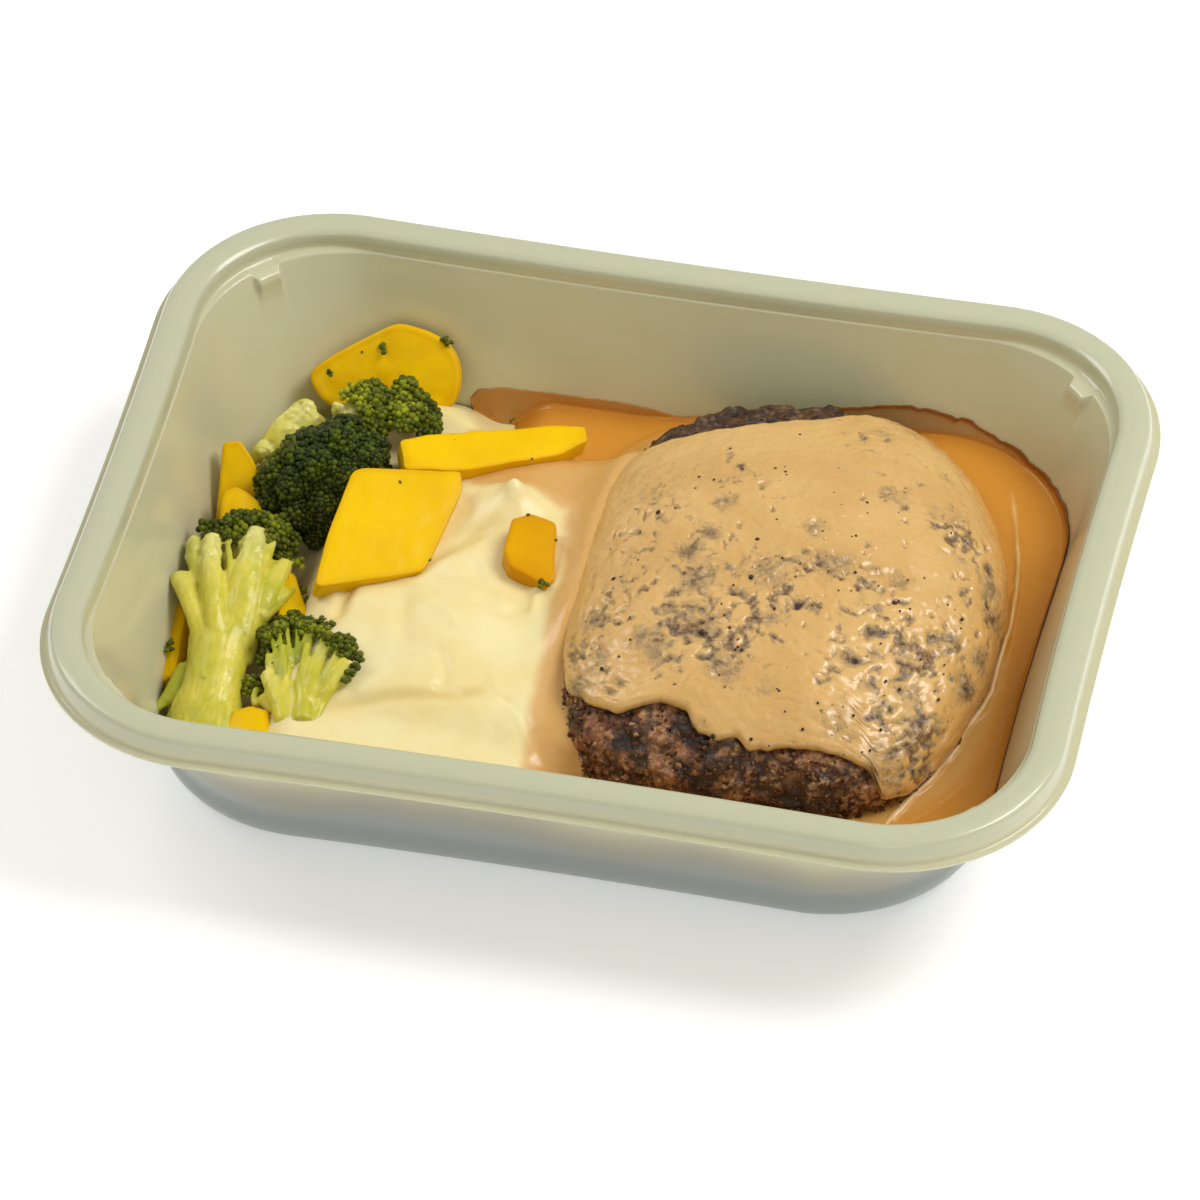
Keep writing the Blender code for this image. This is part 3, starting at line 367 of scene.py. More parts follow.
def photo_on_steak(pixels, grow=1.0):
    """Points of the steak's outer surface that show at photograph pixels: the first height inside its rounded form."""
    heights = np.append(np.arange(STEAK_TOP + 4, STEAK_WAIST - 8, -0.2), STEAK_WAIST)
    return first_seen(pixels, heights, lambda points: steak_depth(points, grow) < 1.0)


def photo_on_wall(pixels):
    """Places on the inner wall that show at photograph pixels: where each ray first leaves the room."""
    return first_seen(pixels, np.arange(38.0, 6.0, -0.2), lambda points: wall_gap(*points.T) < 0)


# Whole arrays: points, noise and distances

def unit(vectors):
    """Vectors at length 1."""
    return vectors / np.maximum(np.linalg.norm(vectors, axis=-1, keepdims=True), 1e-12)


def spots_at(x, y, z=0.0):
    """Points from their coordinates."""
    return np.stack(np.broadcast_arrays(x, y, z), axis=-1)


def round_to(angle, reach, z=0.0):
    """Points at a plan direction and distance from the middle."""
    return spots_at(np.cos(angle) * reach, np.sin(angle) * reach, z)


def hashed(cells, seed):
    """A repeatable pseudo-random number from 0 to 1 for each whole-number cell."""
    cells = cells.astype(np.int64)
    mixed = cells[..., 0] * 374761393 + cells[..., 1] * 668265263 + cells[..., 2] * 2147483629 + seed * 974711
    mixed = mixed & 0xFFFFFFFF
    for shift, factor in ((13, 1274126177), (15, 461845907)):
        mixed = ((mixed ^ (mixed >> shift)) * factor) & 0xFFFFFFFF
    return ((mixed ^ (mixed >> 16)) & 0xFFFFFF) / float(0xFFFFFF)


def soft_noise(points, cell, seed=0):
    """Smooth noise from -1 to 1: random numbers at the corners of cubic cells, blended with an S-shaped ease."""
    scaled = np.asarray(points, float) / cell
    base = np.floor(scaled)
    ease = smooth_step(scaled - base)
    total = np.zeros(scaled.shape[:-1])
    for corner in np.ndindex(2, 2, 2):
        weight = np.prod(np.where(np.array(corner) == 1, ease, 1.0 - ease), axis=-1)
        total += weight * hashed(base + np.array(corner), seed)
    return total * 2.0 - 1.0


def drift(points, cell, *seeds):
    """Soft noise in as many directions as there are seeds."""
    return np.stack([soft_noise(points, cell, seed) for seed in seeds], axis=-1)


def layered_noise(points, cell, layers=3, seed=0):
    """Soft noise with finer layers, each half the size and half the height of the one before."""
    shares = [0.5 ** layer for layer in range(layers)]
    total = sum(share * soft_noise(points, cell * share, seed + layer) for layer, share in enumerate(shares))
    return total / sum(shares)


def grain_noise(points, cell, seed=0):
    """Distance in cells to the nearest of one scattered point per cubic cell, and that point's own random number."""
    scaled = np.asarray(points, float) / cell
    base = np.floor(scaled)
    nearest = np.full(scaled.shape[:-1], 9.0)
    own = np.zeros(scaled.shape[:-1])
    for step in np.ndindex(3, 3, 3):
        cells = base + np.array(step) - 1
        spot = np.stack([hashed(cells, seed + k) for k in (11, 23, 37)], axis=-1) + cells
        gap = np.linalg.norm(scaled - spot, axis=-1)
        own = np.where(gap < nearest, hashed(cells, seed + 51), own)
        nearest = np.minimum(gap, nearest)
    return nearest, own


def smooth_step(value):
    """0 below 0, 1 above 1, and an S-shaped rise between them."""
    t = np.clip(value, 0.0, 1.0)
    return t * t * (3.0 - 2.0 * t)


def rise(value, start, length):
    """From 0 at start to 1 a length further, in an S-shape. A negative length rises downwards."""
    return smooth_step((value - start) / length)


def bell(x, y, centre, width, depth):
    """A round bell of height 1 at the centre."""
    return np.exp(-((x - centre[0]) / width) ** 2 - ((y - centre[1]) / depth) ** 2)


def line_distance(x, y, line):
    """Plan distance to an open line of points, and how far along it the nearest place is, from 0 to 1."""
    best = np.full(np.shape(x), 1e9)
    along = np.zeros(np.shape(x))
    line = np.asarray(line, float)[:, :2]
    for number, (start, end) in enumerate(zip(line[:-1], line[1:])):
        run = end - start
        share = np.clip(((x - start[0]) * run[0] + (y - start[1]) * run[1]) / (run @ run), 0, 1)
        gap = np.hypot(x - start[0] - share * run[0], y - start[1] - share * run[1])
        along = np.where(gap < best, (number + share) / (len(line) - 1), along)
        best = np.minimum(gap, best)
    return best, along


def area_depth(x, y, outline):
    """Signed plan distance to a closed outline, positive inside."""
    outline = np.asarray(outline, float)[:, :2]
    gap, _ = line_distance(x, y, np.vstack([outline, outline[:1]]))
    inside = np.zeros(np.shape(x), bool)
    for (x0, y0), (x1, y1) in zip(outline, np.roll(outline, -1, axis=0)):
        slope = (x1 - x0) / (y1 - y0 if y1 != y0 else 1e-9)
        inside ^= ((y0 > y) != (y1 > y)) & (x < x0 + slope * (y - y0))
    return np.where(inside, gap, -gap)


# Meshes from arrays

def grid_faces(rows, columns, closed=False):
    """Quads between neighbouring rows of a grid of points; closed joins the last column to the first."""
    index = np.arange(rows * columns).reshape(rows, columns)
    here = index if closed else index[:, :-1]
    beside = np.roll(index, -1, axis=1) if closed else index[:, 1:]
    return np.stack([here[:-1], beside[:-1], beside[1:], here[1:]], axis=-1).reshape(-1, 4)


def fan_faces(ring, centre):
    """Triangles from a closed ring of point numbers to one centre point."""
    return np.stack([ring, np.roll(ring, -1), np.full(len(ring), centre)], axis=-1)


def capped_grid(grid, values):
    """A grid closed round its second direction with a pole at each end: points, faces and values."""
    rows, columns = grid.shape[:2]
    points = np.vstack([grid.reshape(-1, 3), [grid[0].mean(axis=0)], [grid[-1].mean(axis=0)]])
    faces = [grid_faces(rows, columns, closed=True), fan_faces(np.arange(columns)[::-1], rows * columns),
             fan_faces(np.arange(columns) + (rows - 1) * columns, rows * columns + 1)]
    return points, faces, {label: np.concatenate([v.ravel(), [v[0].mean()], [v[-1].mean()]])
                           for label, v in values.items()}


def corner_normals(points, faces):
    """The crossed first two sides of each face, not brought to one length."""
    a, b, c = (points[faces[:, k]] for k in range(3))
    return np.cross(b - a, c - a)


def turned_outwards(points, faces):
    """The faces, reversed if together they enclose a negative volume."""
    volume = 0.0
    for face in faces:
        for k in range(1, face.shape[1] - 1):
            a, b, c = points[face[:, 0]], points[face[:, k]], points[face[:, k + 1]]
            volume += np.einsum("ij,ij->", a, np.cross(b, c))
    return faces if volume > 0 else [face[:, ::-1] for face in faces]


def in_scene(name, data):
    """A new object in the scene."""
    item = bpy.data.objects.new(name, data)
    bpy.context.scene.collection.objects.link(item)
    return item


def fill_mesh(name, points, faces, values=None):
    """A smooth-shaded mesh from points in millimetres, lists of faces and named values at its points."""
    mesh = bpy.data.meshes.new(name)
    points = np.asarray(points, float) * MM
    corners = np.concatenate([face.ravel() for face in faces]).astype(np.int32)
    sizes = np.concatenate([np.full(len(face), face.shape[1]) for face in faces])
    starts = np.concatenate([[0], np.cumsum(sizes)[:-1]]).astype(np.int32)
    mesh.vertices.add(len(points))
    mesh.vertices.foreach_set("co", points.ravel())
    mesh.loops.add(len(corners))
    mesh.polygons.add(len(sizes))
    mesh.polygons.foreach_set("loop_start", starts)
    mesh.polygons.foreach_set("vertices", corners)
    mesh.polygons.foreach_set("use_smooth", np.ones(len(sizes), bool))
    for label, numbers in (values or {}).items():
        layer = mesh.attributes.new(label, "FLOAT", "POINT")
        layer.data.foreach_set("value", np.asarray(numbers, np.float32).ravel())
    mesh.update(calc_edges=True)
    mesh.validate()
    return mesh


def add_piece(name, body, material, node, turn=False):
    """Put a finished surface in the scene as a piece that stands for a CAD node. The body is points, faces and
    perhaps values; turn makes its faces point outwards first."""
    points, faces, *values = body
    if turn:
        faces = turned_outwards(points, faces)
    piece = in_scene(name, fill_mesh(name, points, faces, *values))
    piece.data.materials.append(material)
    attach(piece, "root")
    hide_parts(node)
    return piece


def joined(parts):
    """Several (points, faces, values) bodies as one."""
    points, faces, values, first = [], [], {}, 0
    for part_points, part_faces, part_values in parts:
        points.append(part_points)
        faces += [face + first for face in turned_outwards(part_points, part_faces)]
        for label, numbers in part_values.items():
            values.setdefault(label, []).append(numbers)
        first += len(part_points)
    return np.concatenate(points), faces, {label: np.concatenate(v) for label, v in values.items()}


def smooth_line(points, count):
    """A Catmull-Rom curve through points of any dimension, sampled evenly in parameter."""
    points = np.asarray(points, float)
    t = np.linspace(0, len(points) - 1, count)
    number = np.minimum(np.floor(t).astype(int), len(points) - 2)
    part = (t - number)[:, None]
    padded = np.vstack([2 * points[0] - points[1], points, 2 * points[-1] - points[-2]])
    before, start, end, after = (padded[number + k] for k in range(4))
    return 0.5 * (2 * start + (end - before) * part + (2 * before - 5 * start + 4 * end - after) * part ** 2
                  + (3 * start - before - 3 * end + after) * part ** 3)


def rounded_corners(points, share, steps, closed=True):
    """A line whose corners are replaced by quadratic curves that start a share of the way along each side."""
    points = np.asarray(points, float)
    before, after = np.roll(points, 1, axis=0), np.roll(points, -1, axis=0)
    if not closed:
        before[0], after[-1] = points[0], points[-1]
    start, end = points + (before - points) * share, points + (after - points) * share
    t = np.linspace(0, 1, steps)[None, :, None]
    curve = start[:, None] * (1 - t) ** 2 + points[:, None] * 2 * t * (1 - t) + end[:, None] * t ** 2
    return curve.reshape(-1, points.shape[1])


# Shader nodes

class Finish:
    """A material under construction: its colour and relief so far, and short calls for the nodes in use."""

    def __init__(self, name, colour):
        self.material = bpy.data.materials.new(name)
        self.material.use_nodes = True
        self.tree = self.material.node_tree
        self.place = self.add("TexCoord").outputs["Object"]
        self.colour, self.relief = tuple(colour), None

    def join(self, value, socket):
        if isinstance(value, bpy.types.NodeSocket):
            self.tree.links.new(value, socket)
        elif isinstance(value, (tuple, list)) and len(value) == 3 and socket.type == "RGBA":
            socket.default_value = (*value, 1.0)
        else:
            socket.default_value = value

    def add(self, kind, options=(), **inputs):
        """A node with options and named inputs; an underscore stands for a space."""
        node = self.tree.nodes.new("ShaderNode" + kind)
        for label, option in dict(options).items():
            setattr(node, label, option)
        for label, value in inputs.items():
            self.join(value, node.inputs[label.replace("_", " ")])
        return node

    def stretched(self, scale, turn=(0, 0, 0)):
        """Object coordinates, scaled and turned."""
        return self.add("Mapping", Vector=self.place, Scale=scale, Rotation=turn).outputs["Vector"]

    def noise(self, size, detail=3.0, rough=0.5, place=None, bend=0.0):
        """Noise whose features are about size millimetres wide."""
        return self.add("TexNoise", Vector=place or self.place, Scale=1000.0 / size, Detail=detail, Roughness=rough,
                        Distortion=bend).outputs["Fac"]

    def grains(self, size):
        """Distance to the middle of cells about size millimetres wide."""
        return self.add("TexVoronoi", Vector=self.place, Scale=1000.0 / size).outputs["Distance"]

    def value(self, label):
        """A named value that the piece carries at its points."""
        return self.add("Attribute", {"attribute_name": label}).outputs["Fac"]

    def axis(self, label):
        """The piece's own X, Y or Z in metres."""
        return self.add("SeparateXYZ", Vector=self.place).outputs[label]

    def sums(self, operation, *values):
        node = self.add("Math", {"operation": operation})
        for value, socket in zip((*values, 0.0, 0.0), node.inputs):
            self.join(value, socket)
        return node.outputs[0]

    def times(self, first, second):
        return self.sums("MULTIPLY", first, second)

    def centred(self, value, height):
        """A pattern round 0.5 as one round 0, height times as strong."""
        return self.times(self.sums("SUBTRACT", value, 0.5), height)

    def between(self, value, low, high, start=0.0, end=1.0):
        """Rises smoothly from start to end as value goes from low to high."""
        node = self.add("MapRange", {"interpolation_type": "SMOOTHSTEP"})
        for number, item in enumerate((value, low, high, start, end)):
            self.join(item, node.inputs[number])
        return node.outputs[0]

    def mix(self, share, first, second):
        node = self.add("Mix", {"data_type": "RGBA"})
        for number, item in ((0, share), (6, first), (7, second)):
            self.join(item, node.inputs[number])
        return node.outputs[2]

    def tint(self, colour, share, *limits):
        """Blend a colour over the one so far, by a share or by how far a value has risen between limits."""
        self.colour = self.mix(self.between(share, *limits) if limits else share, self.colour, colour)

    def carve(self, height, depth, strength=1.0):
        """Relief over the relief so far: height from 0 to 1 stands for depth millimetres."""
        node = self.add("Bump", Strength=strength, Distance=depth * MM, Height=height)
        if self.relief is not None:
            self.join(self.relief, node.inputs["Normal"])
        self.relief = node.outputs[0]

    def done(self, soft=None, **values):
        """The material. Soft gives the subsurface weight, its scale in metres and its radius by colour."""
        if soft:
            values.update(Subsurface_Weight=soft[0], Subsurface_Scale=soft[1], Subsurface_Radius=soft[2])
        if self.relief is not None:
            values["Normal"] = self.relief
        shader = self.tree.nodes["Principled BSDF"]
        for label, value in dict(values, Base_Color=self.colour).items():
            self.join(value, shader.inputs[label.replace("_", " ")])
        return self.material


def linear(*levels):
    """Linear colour from the 0 to 255 numbers of a picture."""
    return tuple(v / 12.92 if v <= 0.04045 else ((v + 0.055) / 1.055) ** 2.4 for v in (n / 255.0 for n in levels))


def tray_finish(settings):
    """Glossy sage plastic that lets a little light through, faintly cloudy, with a painted reflection that greys the
    rim's top, and painted shade warmed as by light bounced off the sauce low on the right wall.
    """
    finish = Finish("sage_tray_plastic", settings.plastic)
    finish.tint(linear(186, 182, 148), finish.noise(70, 1.0), 0.3, 0.7, 0.0, 0.2)
    # Painted reflection: the rim's top above the ledge is tinted greyer and cooler than the walls.
    finish.tint(linear(191, 192, 163), finish.axis("Z"), 0.0425, 0.0435)
    # Painted shade, warmed as by light bounced off the sauce: the lower right wall is darker and browner.
    low, right = finish.between(finish.axis("Z"), 0.040, 0.020), finish.between(finish.axis("X"), 0.060, 0.095)
    finish.tint(linear(166, 140, 92), finish.times(finish.times(low, right), 0.55))
    finish.carve(finish.noise(30, 1.0), 0.25, 0.4)
    return finish.done((0.2, 0.0022, (0.9, 1.0, 0.6)), Roughness=0.26, IOR=1.5, Coat_Weight=0.35,
                       Coat_Roughness=0.04)


def tray_outside_finish(settings):
    """The outer face of the same plastic: warm above, cooler and greyer below a soft wavy line of what lies inside, as
    painted shade on the lower wall, with a warm band at the line where the food shows through.
    """
    finish = Finish("sage_tray_plastic_outside", settings.plastic)
    level = finish.sums("ADD", finish.axis("Z"), finish.centred(finish.noise(48, 2.0), 0.022))
    # Painted shade: the lower outer wall is cooler and greyer.
    finish.tint(linear(150, 156, 152), level, 0.030, 0.016)
    band = finish.times(finish.between(level, 0.010, 0.018), finish.between(level, 0.030, 0.022))
    finish.tint(linear(168, 150, 116), finish.times(band, 0.4))
    finish.carve(finish.noise(22, 2.0), 0.3, 0.4)
    return finish.done((0.15, 0.002, (0.9, 1.0, 0.6)), Roughness=0.3, IOR=1.5)


def crust_finish(settings):
    """Browned mince: painted shade in the dark hollows between grains, mid-brown patches, tan grains on the high spots
    and fat that glistens.
    """
    finish = Finish("browned_mince_crust", settings.crust)
    fine = finish.noise(1.6, 4.0, 0.65)
    finish.tint(linear(160, 106, 62), finish.noise(9, 4.0, 0.62), 0.40, 0.58)
    finish.tint(linear(118, 56, 32), finish.noise(14, 2.0), 0.52, 0.68, 0.0, 0.7)
    finish.tint(linear(190, 148, 100),
                finish.times(finish.between(fine, 0.48, 0.62), finish.between(finish.value("crumb"), 0.3, 0.8)))
    burnt = finish.between(finish.noise(11, 3.0, 0.6, None, 0.6), 0.52, 0.60, 0.0, 0.85)
    behind = finish.between(finish.axis("Y"), 0.028, 0.042, 0.0, 0.7)
    finish.tint(linear(44, 26, 16), finish.sums("MAXIMUM", burnt, behind))
    # Painted shade: the hollows between grains, where the relief below sinks, are darkened.
    finish.tint(linear(30, 16, 10), finish.grains(2.3), 0.42, 0.8, 0.0, 0.75)
    finish.carve(finish.sums("SUBTRACT", 1.0, finish.grains(2.3)), 0.9, 0.9)
    finish.carve(fine, 0.5, 0.9)
    return finish.done((0.06, 0.001, (1.0, 0.35, 0.2)), Roughness=finish.between(fine, 0.35, 0.7, 0.25, 0.65))


def crumb_finish(settings):
    """Browned crumbs, from nearly black to tan, each its own tone."""
    finish = Finish("browned_crumbs", settings.crust)
    tone = finish.times(finish.value("tone"), finish.between(finish.noise(7, 2.0), 0.40, 0.60, 0.45, 1.0))
    finish.tint(linear(128, 82, 52), tone, 0.1, 0.6)
    finish.tint(linear(176, 134, 86), tone, 0.62, 0.98)
    finish.carve(finish.noise(0.5, 3.0, 0.6), 0.2, 0.8)
    return finish.done(Roughness=0.55, Specular_IOR_Level=0.25)


def coat_finish(settings):
    """Cream sauce: opaque peach where it is thick, grey where the meat lies close, dark grains where it is bare."""
    finish = Finish("cream_sauce_over_meat", settings.cream)
    meat, fine = finish.value("meat"), finish.noise(1.4, 4.0, 0.65)
    ragged = finish.sums("ADD", meat, finish.centred(fine, 0.85))
    ragged = finish.sums("SUBTRACT", ragged, finish.times(finish.grains(1.7), 0.22))
    flecks = finish.between(finish.noise(1.15, 3.0, 0.6, finish.stretched((1.0, 0.7, 0.8))), 0.58, 0.70)
    flecks = finish.times(flecks, finish.between(meat, 0.02, 0.35))
    finish.tint(linear(210, 166, 98), finish.noise(13, 3.0), 0.3, 0.7)
    finish.tint(linear(206, 150, 76), finish.times(finish.between(finish.axis("Z"), 0.031, 0.021), 0.6))
    finish.tint(linear(158, 132, 90), ragged, 0.0, 0.6, 0.0, 0.85)
    finish.tint(linear(112, 82, 50), finish.times(flecks, 0.75))
    redder = finish.mix(finish.between(finish.noise(5, 2.0), 0.45, 0.6), linear(98, 72, 44), linear(118, 72, 38))
    finish.tint(redder, ragged, 0.46, 0.86, 0.0, 0.85)
    finish.tint(linear(54, 34, 20), ragged, 0.68, 0.98)
    finish.carve(finish.noise(4.2, 3.0, 0.5), 0.45, 0.6)
    finish.carve(finish.times(finish.between(ragged, 0.25, 0.7), finish.noise(0.8, 3.0, 0.6)), 0.5, 0.7)
    return finish.done((0.14, 0.0014, (1.0, 0.6, 0.3)), Roughness=finish.between(fine, 0.3, 0.7, 0.2, 0.36),
                       Coat_Weight=0.15, Coat_Roughness=0.12)


def pool_finish(settings):
    """Thin orange-brown sauce with a fine speckle, paler where cream has run in and palest on the bead where it ends,
    partly a painted highlight, darker towards the wall as painted shade, and dark along its dried line on the wall.
    """
    finish = Finish("loose_sauce", settings.pool)
    edge, cream = finish.value("edge"), finish.value("cream")
    finish.tint(linear(204, 138, 46), finish.noise(16, 3.0), 0.3, 0.7)
    # The edge value: painted shade towards the wall, and the dried line on the film.
    finish.tint(linear(176, 108, 26), edge, 0.05, 0.55, 0.0, 0.75)
    finish.tint(linear(132, 72, 8), edge, 0.5, 0.95)
    finish.tint(linear(208, 158, 84), cream, 0.0, 1.0)
    # Palest along the cream's bead: partly thick cream, partly a painted highlight.
    finish.tint(linear(238, 204, 150), cream, 1.0, 1.5)
    finish.tint(linear(178, 158, 112), finish.value("clear"))
    finish.tint(linear(226, 172, 84), finish.noise(0.55, 2.0), 0.60, 0.72, 0.0, 0.25)
    finish.carve(finish.noise(2.2, 3.0), 0.2, 0.5)
    return finish.done((0.1, 0.0015, (1.0, 0.5, 0.2)), Roughness=0.25, Specular_IOR_Level=0.28)


def mash_finish(settings):
    """Smooth buttery potato with faint lumps, painted shade along its main creases, stained peach where sauce has run
    over it.
    """
    finish = Finish("mashed_potato", settings.mash)
    finish.tint(linear(236, 217, 152), finish.noise(18, 3.0), 0.3, 0.7)
    # Painted shade along the main creases.
    finish.tint(linear(214, 184, 96), finish.value("fold"))
    stain = finish.sums("ADD", finish.value("sauce"), finish.centred(finish.noise(7, 4.0, 0.55), 0.5))
    finish.tint(linear(220, 176, 110), stain, 0.15, 0.9)
    finish.tint(linear(212, 162, 86), finish.value("sauce"), 0.9, 1.5, 0.0, 0.6)
    finish.carve(finish.noise(9, 2.0, 0.5, None, 0.5), 0.9, 0.5)
    finish.carve(finish.noise(3.0, 3.0, 0.5), 0.3, 0.5)
    finish.carve(finish.noise(0.9, 2.0), 0.06, 0.4)
    return finish.done((0.25, 0.002, (1.0, 0.75, 0.4)), Roughness=finish.between(stain, 0.2, 0.8, 0.42, 0.28),
                       Specular_IOR_Level=0.4, Coat_Weight=0.25, Coat_Roughness=0.2)


def carrot_finish(settings, name, deep, share, body=0.0):
    """Cooked yellow carrot: fine fibres, a slightly deeper tone towards the sides and a wet film."""
    finish = Finish(name, settings.carrot)
    fibres = finish.noise(1.1, 4.0, 0.6, finish.stretched((1.0, 0.16, 1.0), (0.0, 0.0, 0.6)))
    finish.tint(deep, finish.noise(18, 2.0), 0.3, 0.75, body, 0.4 + body)
    finish.tint(deep, fibres, 0.35, 0.8, 0.0, 0.12)
    finish.tint(deep, finish.value("rim"), 0.75, 1.0, 0.0, share)
    finish.carve(fibres, 0.08, 0.5)
    finish.carve(finish.noise(5.5, 3.0), 0.14, 0.4)
    return finish.done((0.25, 0.002, (1.0, 0.55, 0.02)), Specular_IOR_Level=0.08, Coat_Weight=0.04,
                       Coat_Roughness=0.08, Roughness=finish.between(finish.noise(6, 3.0), 0.35, 0.65, 0.34, 0.48))


def bud_finish(settings):
    """Broccoli buds: dark green beads, each a little different, paler towards the stalk."""
    finish = Finish("broccoli_buds", settings.bud)
    finish.tint(linear(84, 98, 12), finish.value("tone"))
    finish.tint(linear(168, 172, 30), finish.value("pale"))
    finish.carve(finish.noise(0.5, 2.0), 0.12, 0.6)
    return finish.done((0.08, 0.0008, (0.5, 0.8, 0.1)), Roughness=0.36, Specular_IOR_Level=0.22)


def stalk_finish(settings):
    """Broccoli stalk: green-yellow skin with lengthwise fibres and nearly white cut flesh."""
    finish = Finish("broccoli_stalk", settings.stalk)
    fibres = finish.noise(1.0, 4.0, 0.6, finish.stretched((1.0, 0.18, 1.0)))
    finish.tint(linear(198, 190, 48), finish.noise(9, 3.0), 0.3, 0.7)
    finish.tint(linear(228, 218, 112), fibres, 0.35, 0.75, 0.0, 0.5)
    finish.tint(linear(132, 128, 30), finish.noise(2.4, 2.0), 0.70, 0.76, 0.0, 0.6)
    finish.tint(linear(234, 226, 146), finish.value("cut"))
    finish.tint(linear(148, 156, 10), finish.value("green"))
    finish.carve(fibres, 0.25, 0.6)
    finish.carve(finish.noise(2.2, 4.0, 0.6), 0.3, 0.5)
    return finish.done((0.3, 0.0018, (0.9, 1.0, 0.3)), Roughness=finish.between(fibres, 0.3, 0.7, 0.24, 0.42),
                       Specular_IOR_Level=0.35, Coat_Weight=0.2, Coat_Roughness=0.1)


def speck_finish():
    """Ground pepper and herb flakes."""
    finish = Finish("pepper_flakes", linear(38, 30, 24))
    finish.tint(linear(66, 44, 26), finish.noise(3.0), 0.4, 0.6)
    finish.carve(finish.noise(0.3), 0.1)
    return finish.done(Roughness=0.5)


def glowing_floor_finish(settings):
    """A plain pale surface with the faintest grain, which glows faintly: a painted glow that lightens its shadow and
    lights the tray from below.
    """
    finish = Finish("pale_floor", settings.floor)
    finish.tint(linear(244, 244, 242), finish.noise(400, 2.0), 0.3, 0.7, 0.0, 0.2)
    # The floor's glow is painted light: it lightens the tray's shadow and lights the tray's outside from below.
    return finish.done(Roughness=0.7, Emission_Color=finish.colour, Emission_Strength=0.32)


# Tray

def tray_columns():
    """Angles along each corner, close together where the stacking lug starts and ends, how far the lug has risen at
    each, and steps along each side."""
    turn = [np.linspace(0, LUG_START - 1.2, 15), np.linspace(LUG_START - 0.6, LUG_START + 2.6, 6),
            np.linspace(LUG_END - 2.6, LUG_END + 0.6, 6), np.linspace(LUG_END + 1.2, 90, 15), (45.0, 43.0, 47.0)]
    turn = np.radians(np.unique(np.concatenate(turn)))
    degrees = np.degrees(turn)
    return turn, rise(degrees, LUG_START, 2.0) * rise(degrees, LUG_END, -2.0), np.linspace(0, 1, 17)[1:-1]


def tray_ring(inset, corner, lug):
    """Plan outline: a rounded rectangle whose sides pull in at their middle and whose corners step in at the lug."""
    half = np.array((TRAY_LENGTH, TRAY_WIDTH)) / 2 - inset
    turn, risen, steps = tray_columns()
    radius = corner - lug * risen
    arc = half - corner + radius[:, None] * np.c_[np.cos(turn), np.sin(turn)]
    arcs = [arc * (1, 1), arc[::-1] * (-1, 1), arc * (-1, -1), arc[::-1] * (1, -1)]
    ring = []
    for here, following in zip(arcs, arcs[1:] + arcs[:1]):
        ring += [here, here[-1] + (following[0] - here[-1]) * steps[:, None]]
    ring = np.concatenate(ring)
    return ring - np.sign(ring) * (SIDE_BOW * np.clip(1 - (ring[:, ::-1] / half[::-1]) ** 2, 0, 1))


def wall_row(height):
    """Inset and corner radius of the inner wall at a height, on the straight slope above the base edge."""
    share = (LEDGE_HEIGHT - height) / (LEDGE_HEIGHT - WALL_FOOT)
    return LEDGE_INSET + (BASE_INSET - BASE_EDGE_RADIUS * 0.96 - LEDGE_INSET) * share, \
        BODY_CORNER + (BASE_CORNER - BODY_CORNER) * share


def tray_profile():
    """Rows of inset, height, corner radius and lug depth, from the outer lip over the rim and down to the floor."""
    rows = [(inset, height, RIM_CORNER - inset, 0.0) for inset, height in RIM_PROFILE]
    rows += [(LEDGE_INSET - 0.45, LEDGE_HEIGHT + 0.3, BODY_CORNER + 0.1, LUG_DEPTH * 0.85),
             (LEDGE_INSET - 0.05, LEDGE_HEIGHT + 0.12, BODY_CORNER - 0.3, LUG_DEPTH),
             (LEDGE_INSET + 0.25, LEDGE_HEIGHT - 0.9, BODY_CORNER, LUG_DEPTH)]
    for height, lug in ((38.0, 0.45), (35.5, 0.1), (LUG_BOTTOM, 0.0), (24.0, 0.0), (17.0, 0.0), (12.0, 0.0)):
        inset, corner = wall_row(height)
        rows.append((inset, height, corner, lug * LUG_DEPTH))
    rows = rounded_corners(rows, 0.3, 4, closed=False)
    turn = np.radians(np.linspace(-14, 90, 9))
    reach = BASE_EDGE_RADIUS * np.cos(turn)
    edge = np.c_[BASE_INSET - reach, 0.8 + BASE_EDGE_RADIUS * (1 - np.sin(turn)), 31.4 + reach, np.zeros(len(turn))]
    return np.vstack([rows, edge])


def build_tray_shell(settings, material):
    """Profile rows carried round the plan outline, closed at the floor's middle; Solidify gives the sheet its
    thickness on the outside. The front lugs stand out less than the back ones."""
    _, risen, steps = tray_columns()
    share = np.concatenate([part for depth in (1, 1, 0.2, 0.2) for part in (risen * depth, np.zeros(len(steps)))])
    rings = []
    for inset, height, corner, lug in tray_profile():
        ring = tray_ring(inset, corner, 0.0)
        ring = ring + (tray_ring(inset, corner, lug) - ring) * share[:, None]
        rings.append(np.c_[ring, height - 0.45 * lug * share])
    rings += [rings[-1] * (shrink, shrink, 1) for shrink in (0.8, 0.55, 0.3, 0.1)]
    columns = len(rings[0])
    points = np.vstack(rings + [[(0, 0, rings[-1][0, 2])]])
    last_ring = np.arange(columns) + columns * (len(rings) - 1)
    faces = [grid_faces(len(rings), columns, closed=True)[:, ::-1], fan_faces(last_ring, len(points) - 1)[:, ::-1]]
    if corner_normals(points, faces[1][:1])[0, 2] < 0:
        faces = [face[:, ::-1] for face in faces]
    piece = add_piece("tray_shell", (points, faces), material, "tray")
    piece.data.materials.append(tray_outside_finish(settings))
    sheet = piece.modifiers.new("sheet thickness", "SOLIDIFY")
    sheet.material_offset = 1
    sheet.thickness = settings.sheet
    sheet.offset = -1.0
    sheet.use_even_offset = True


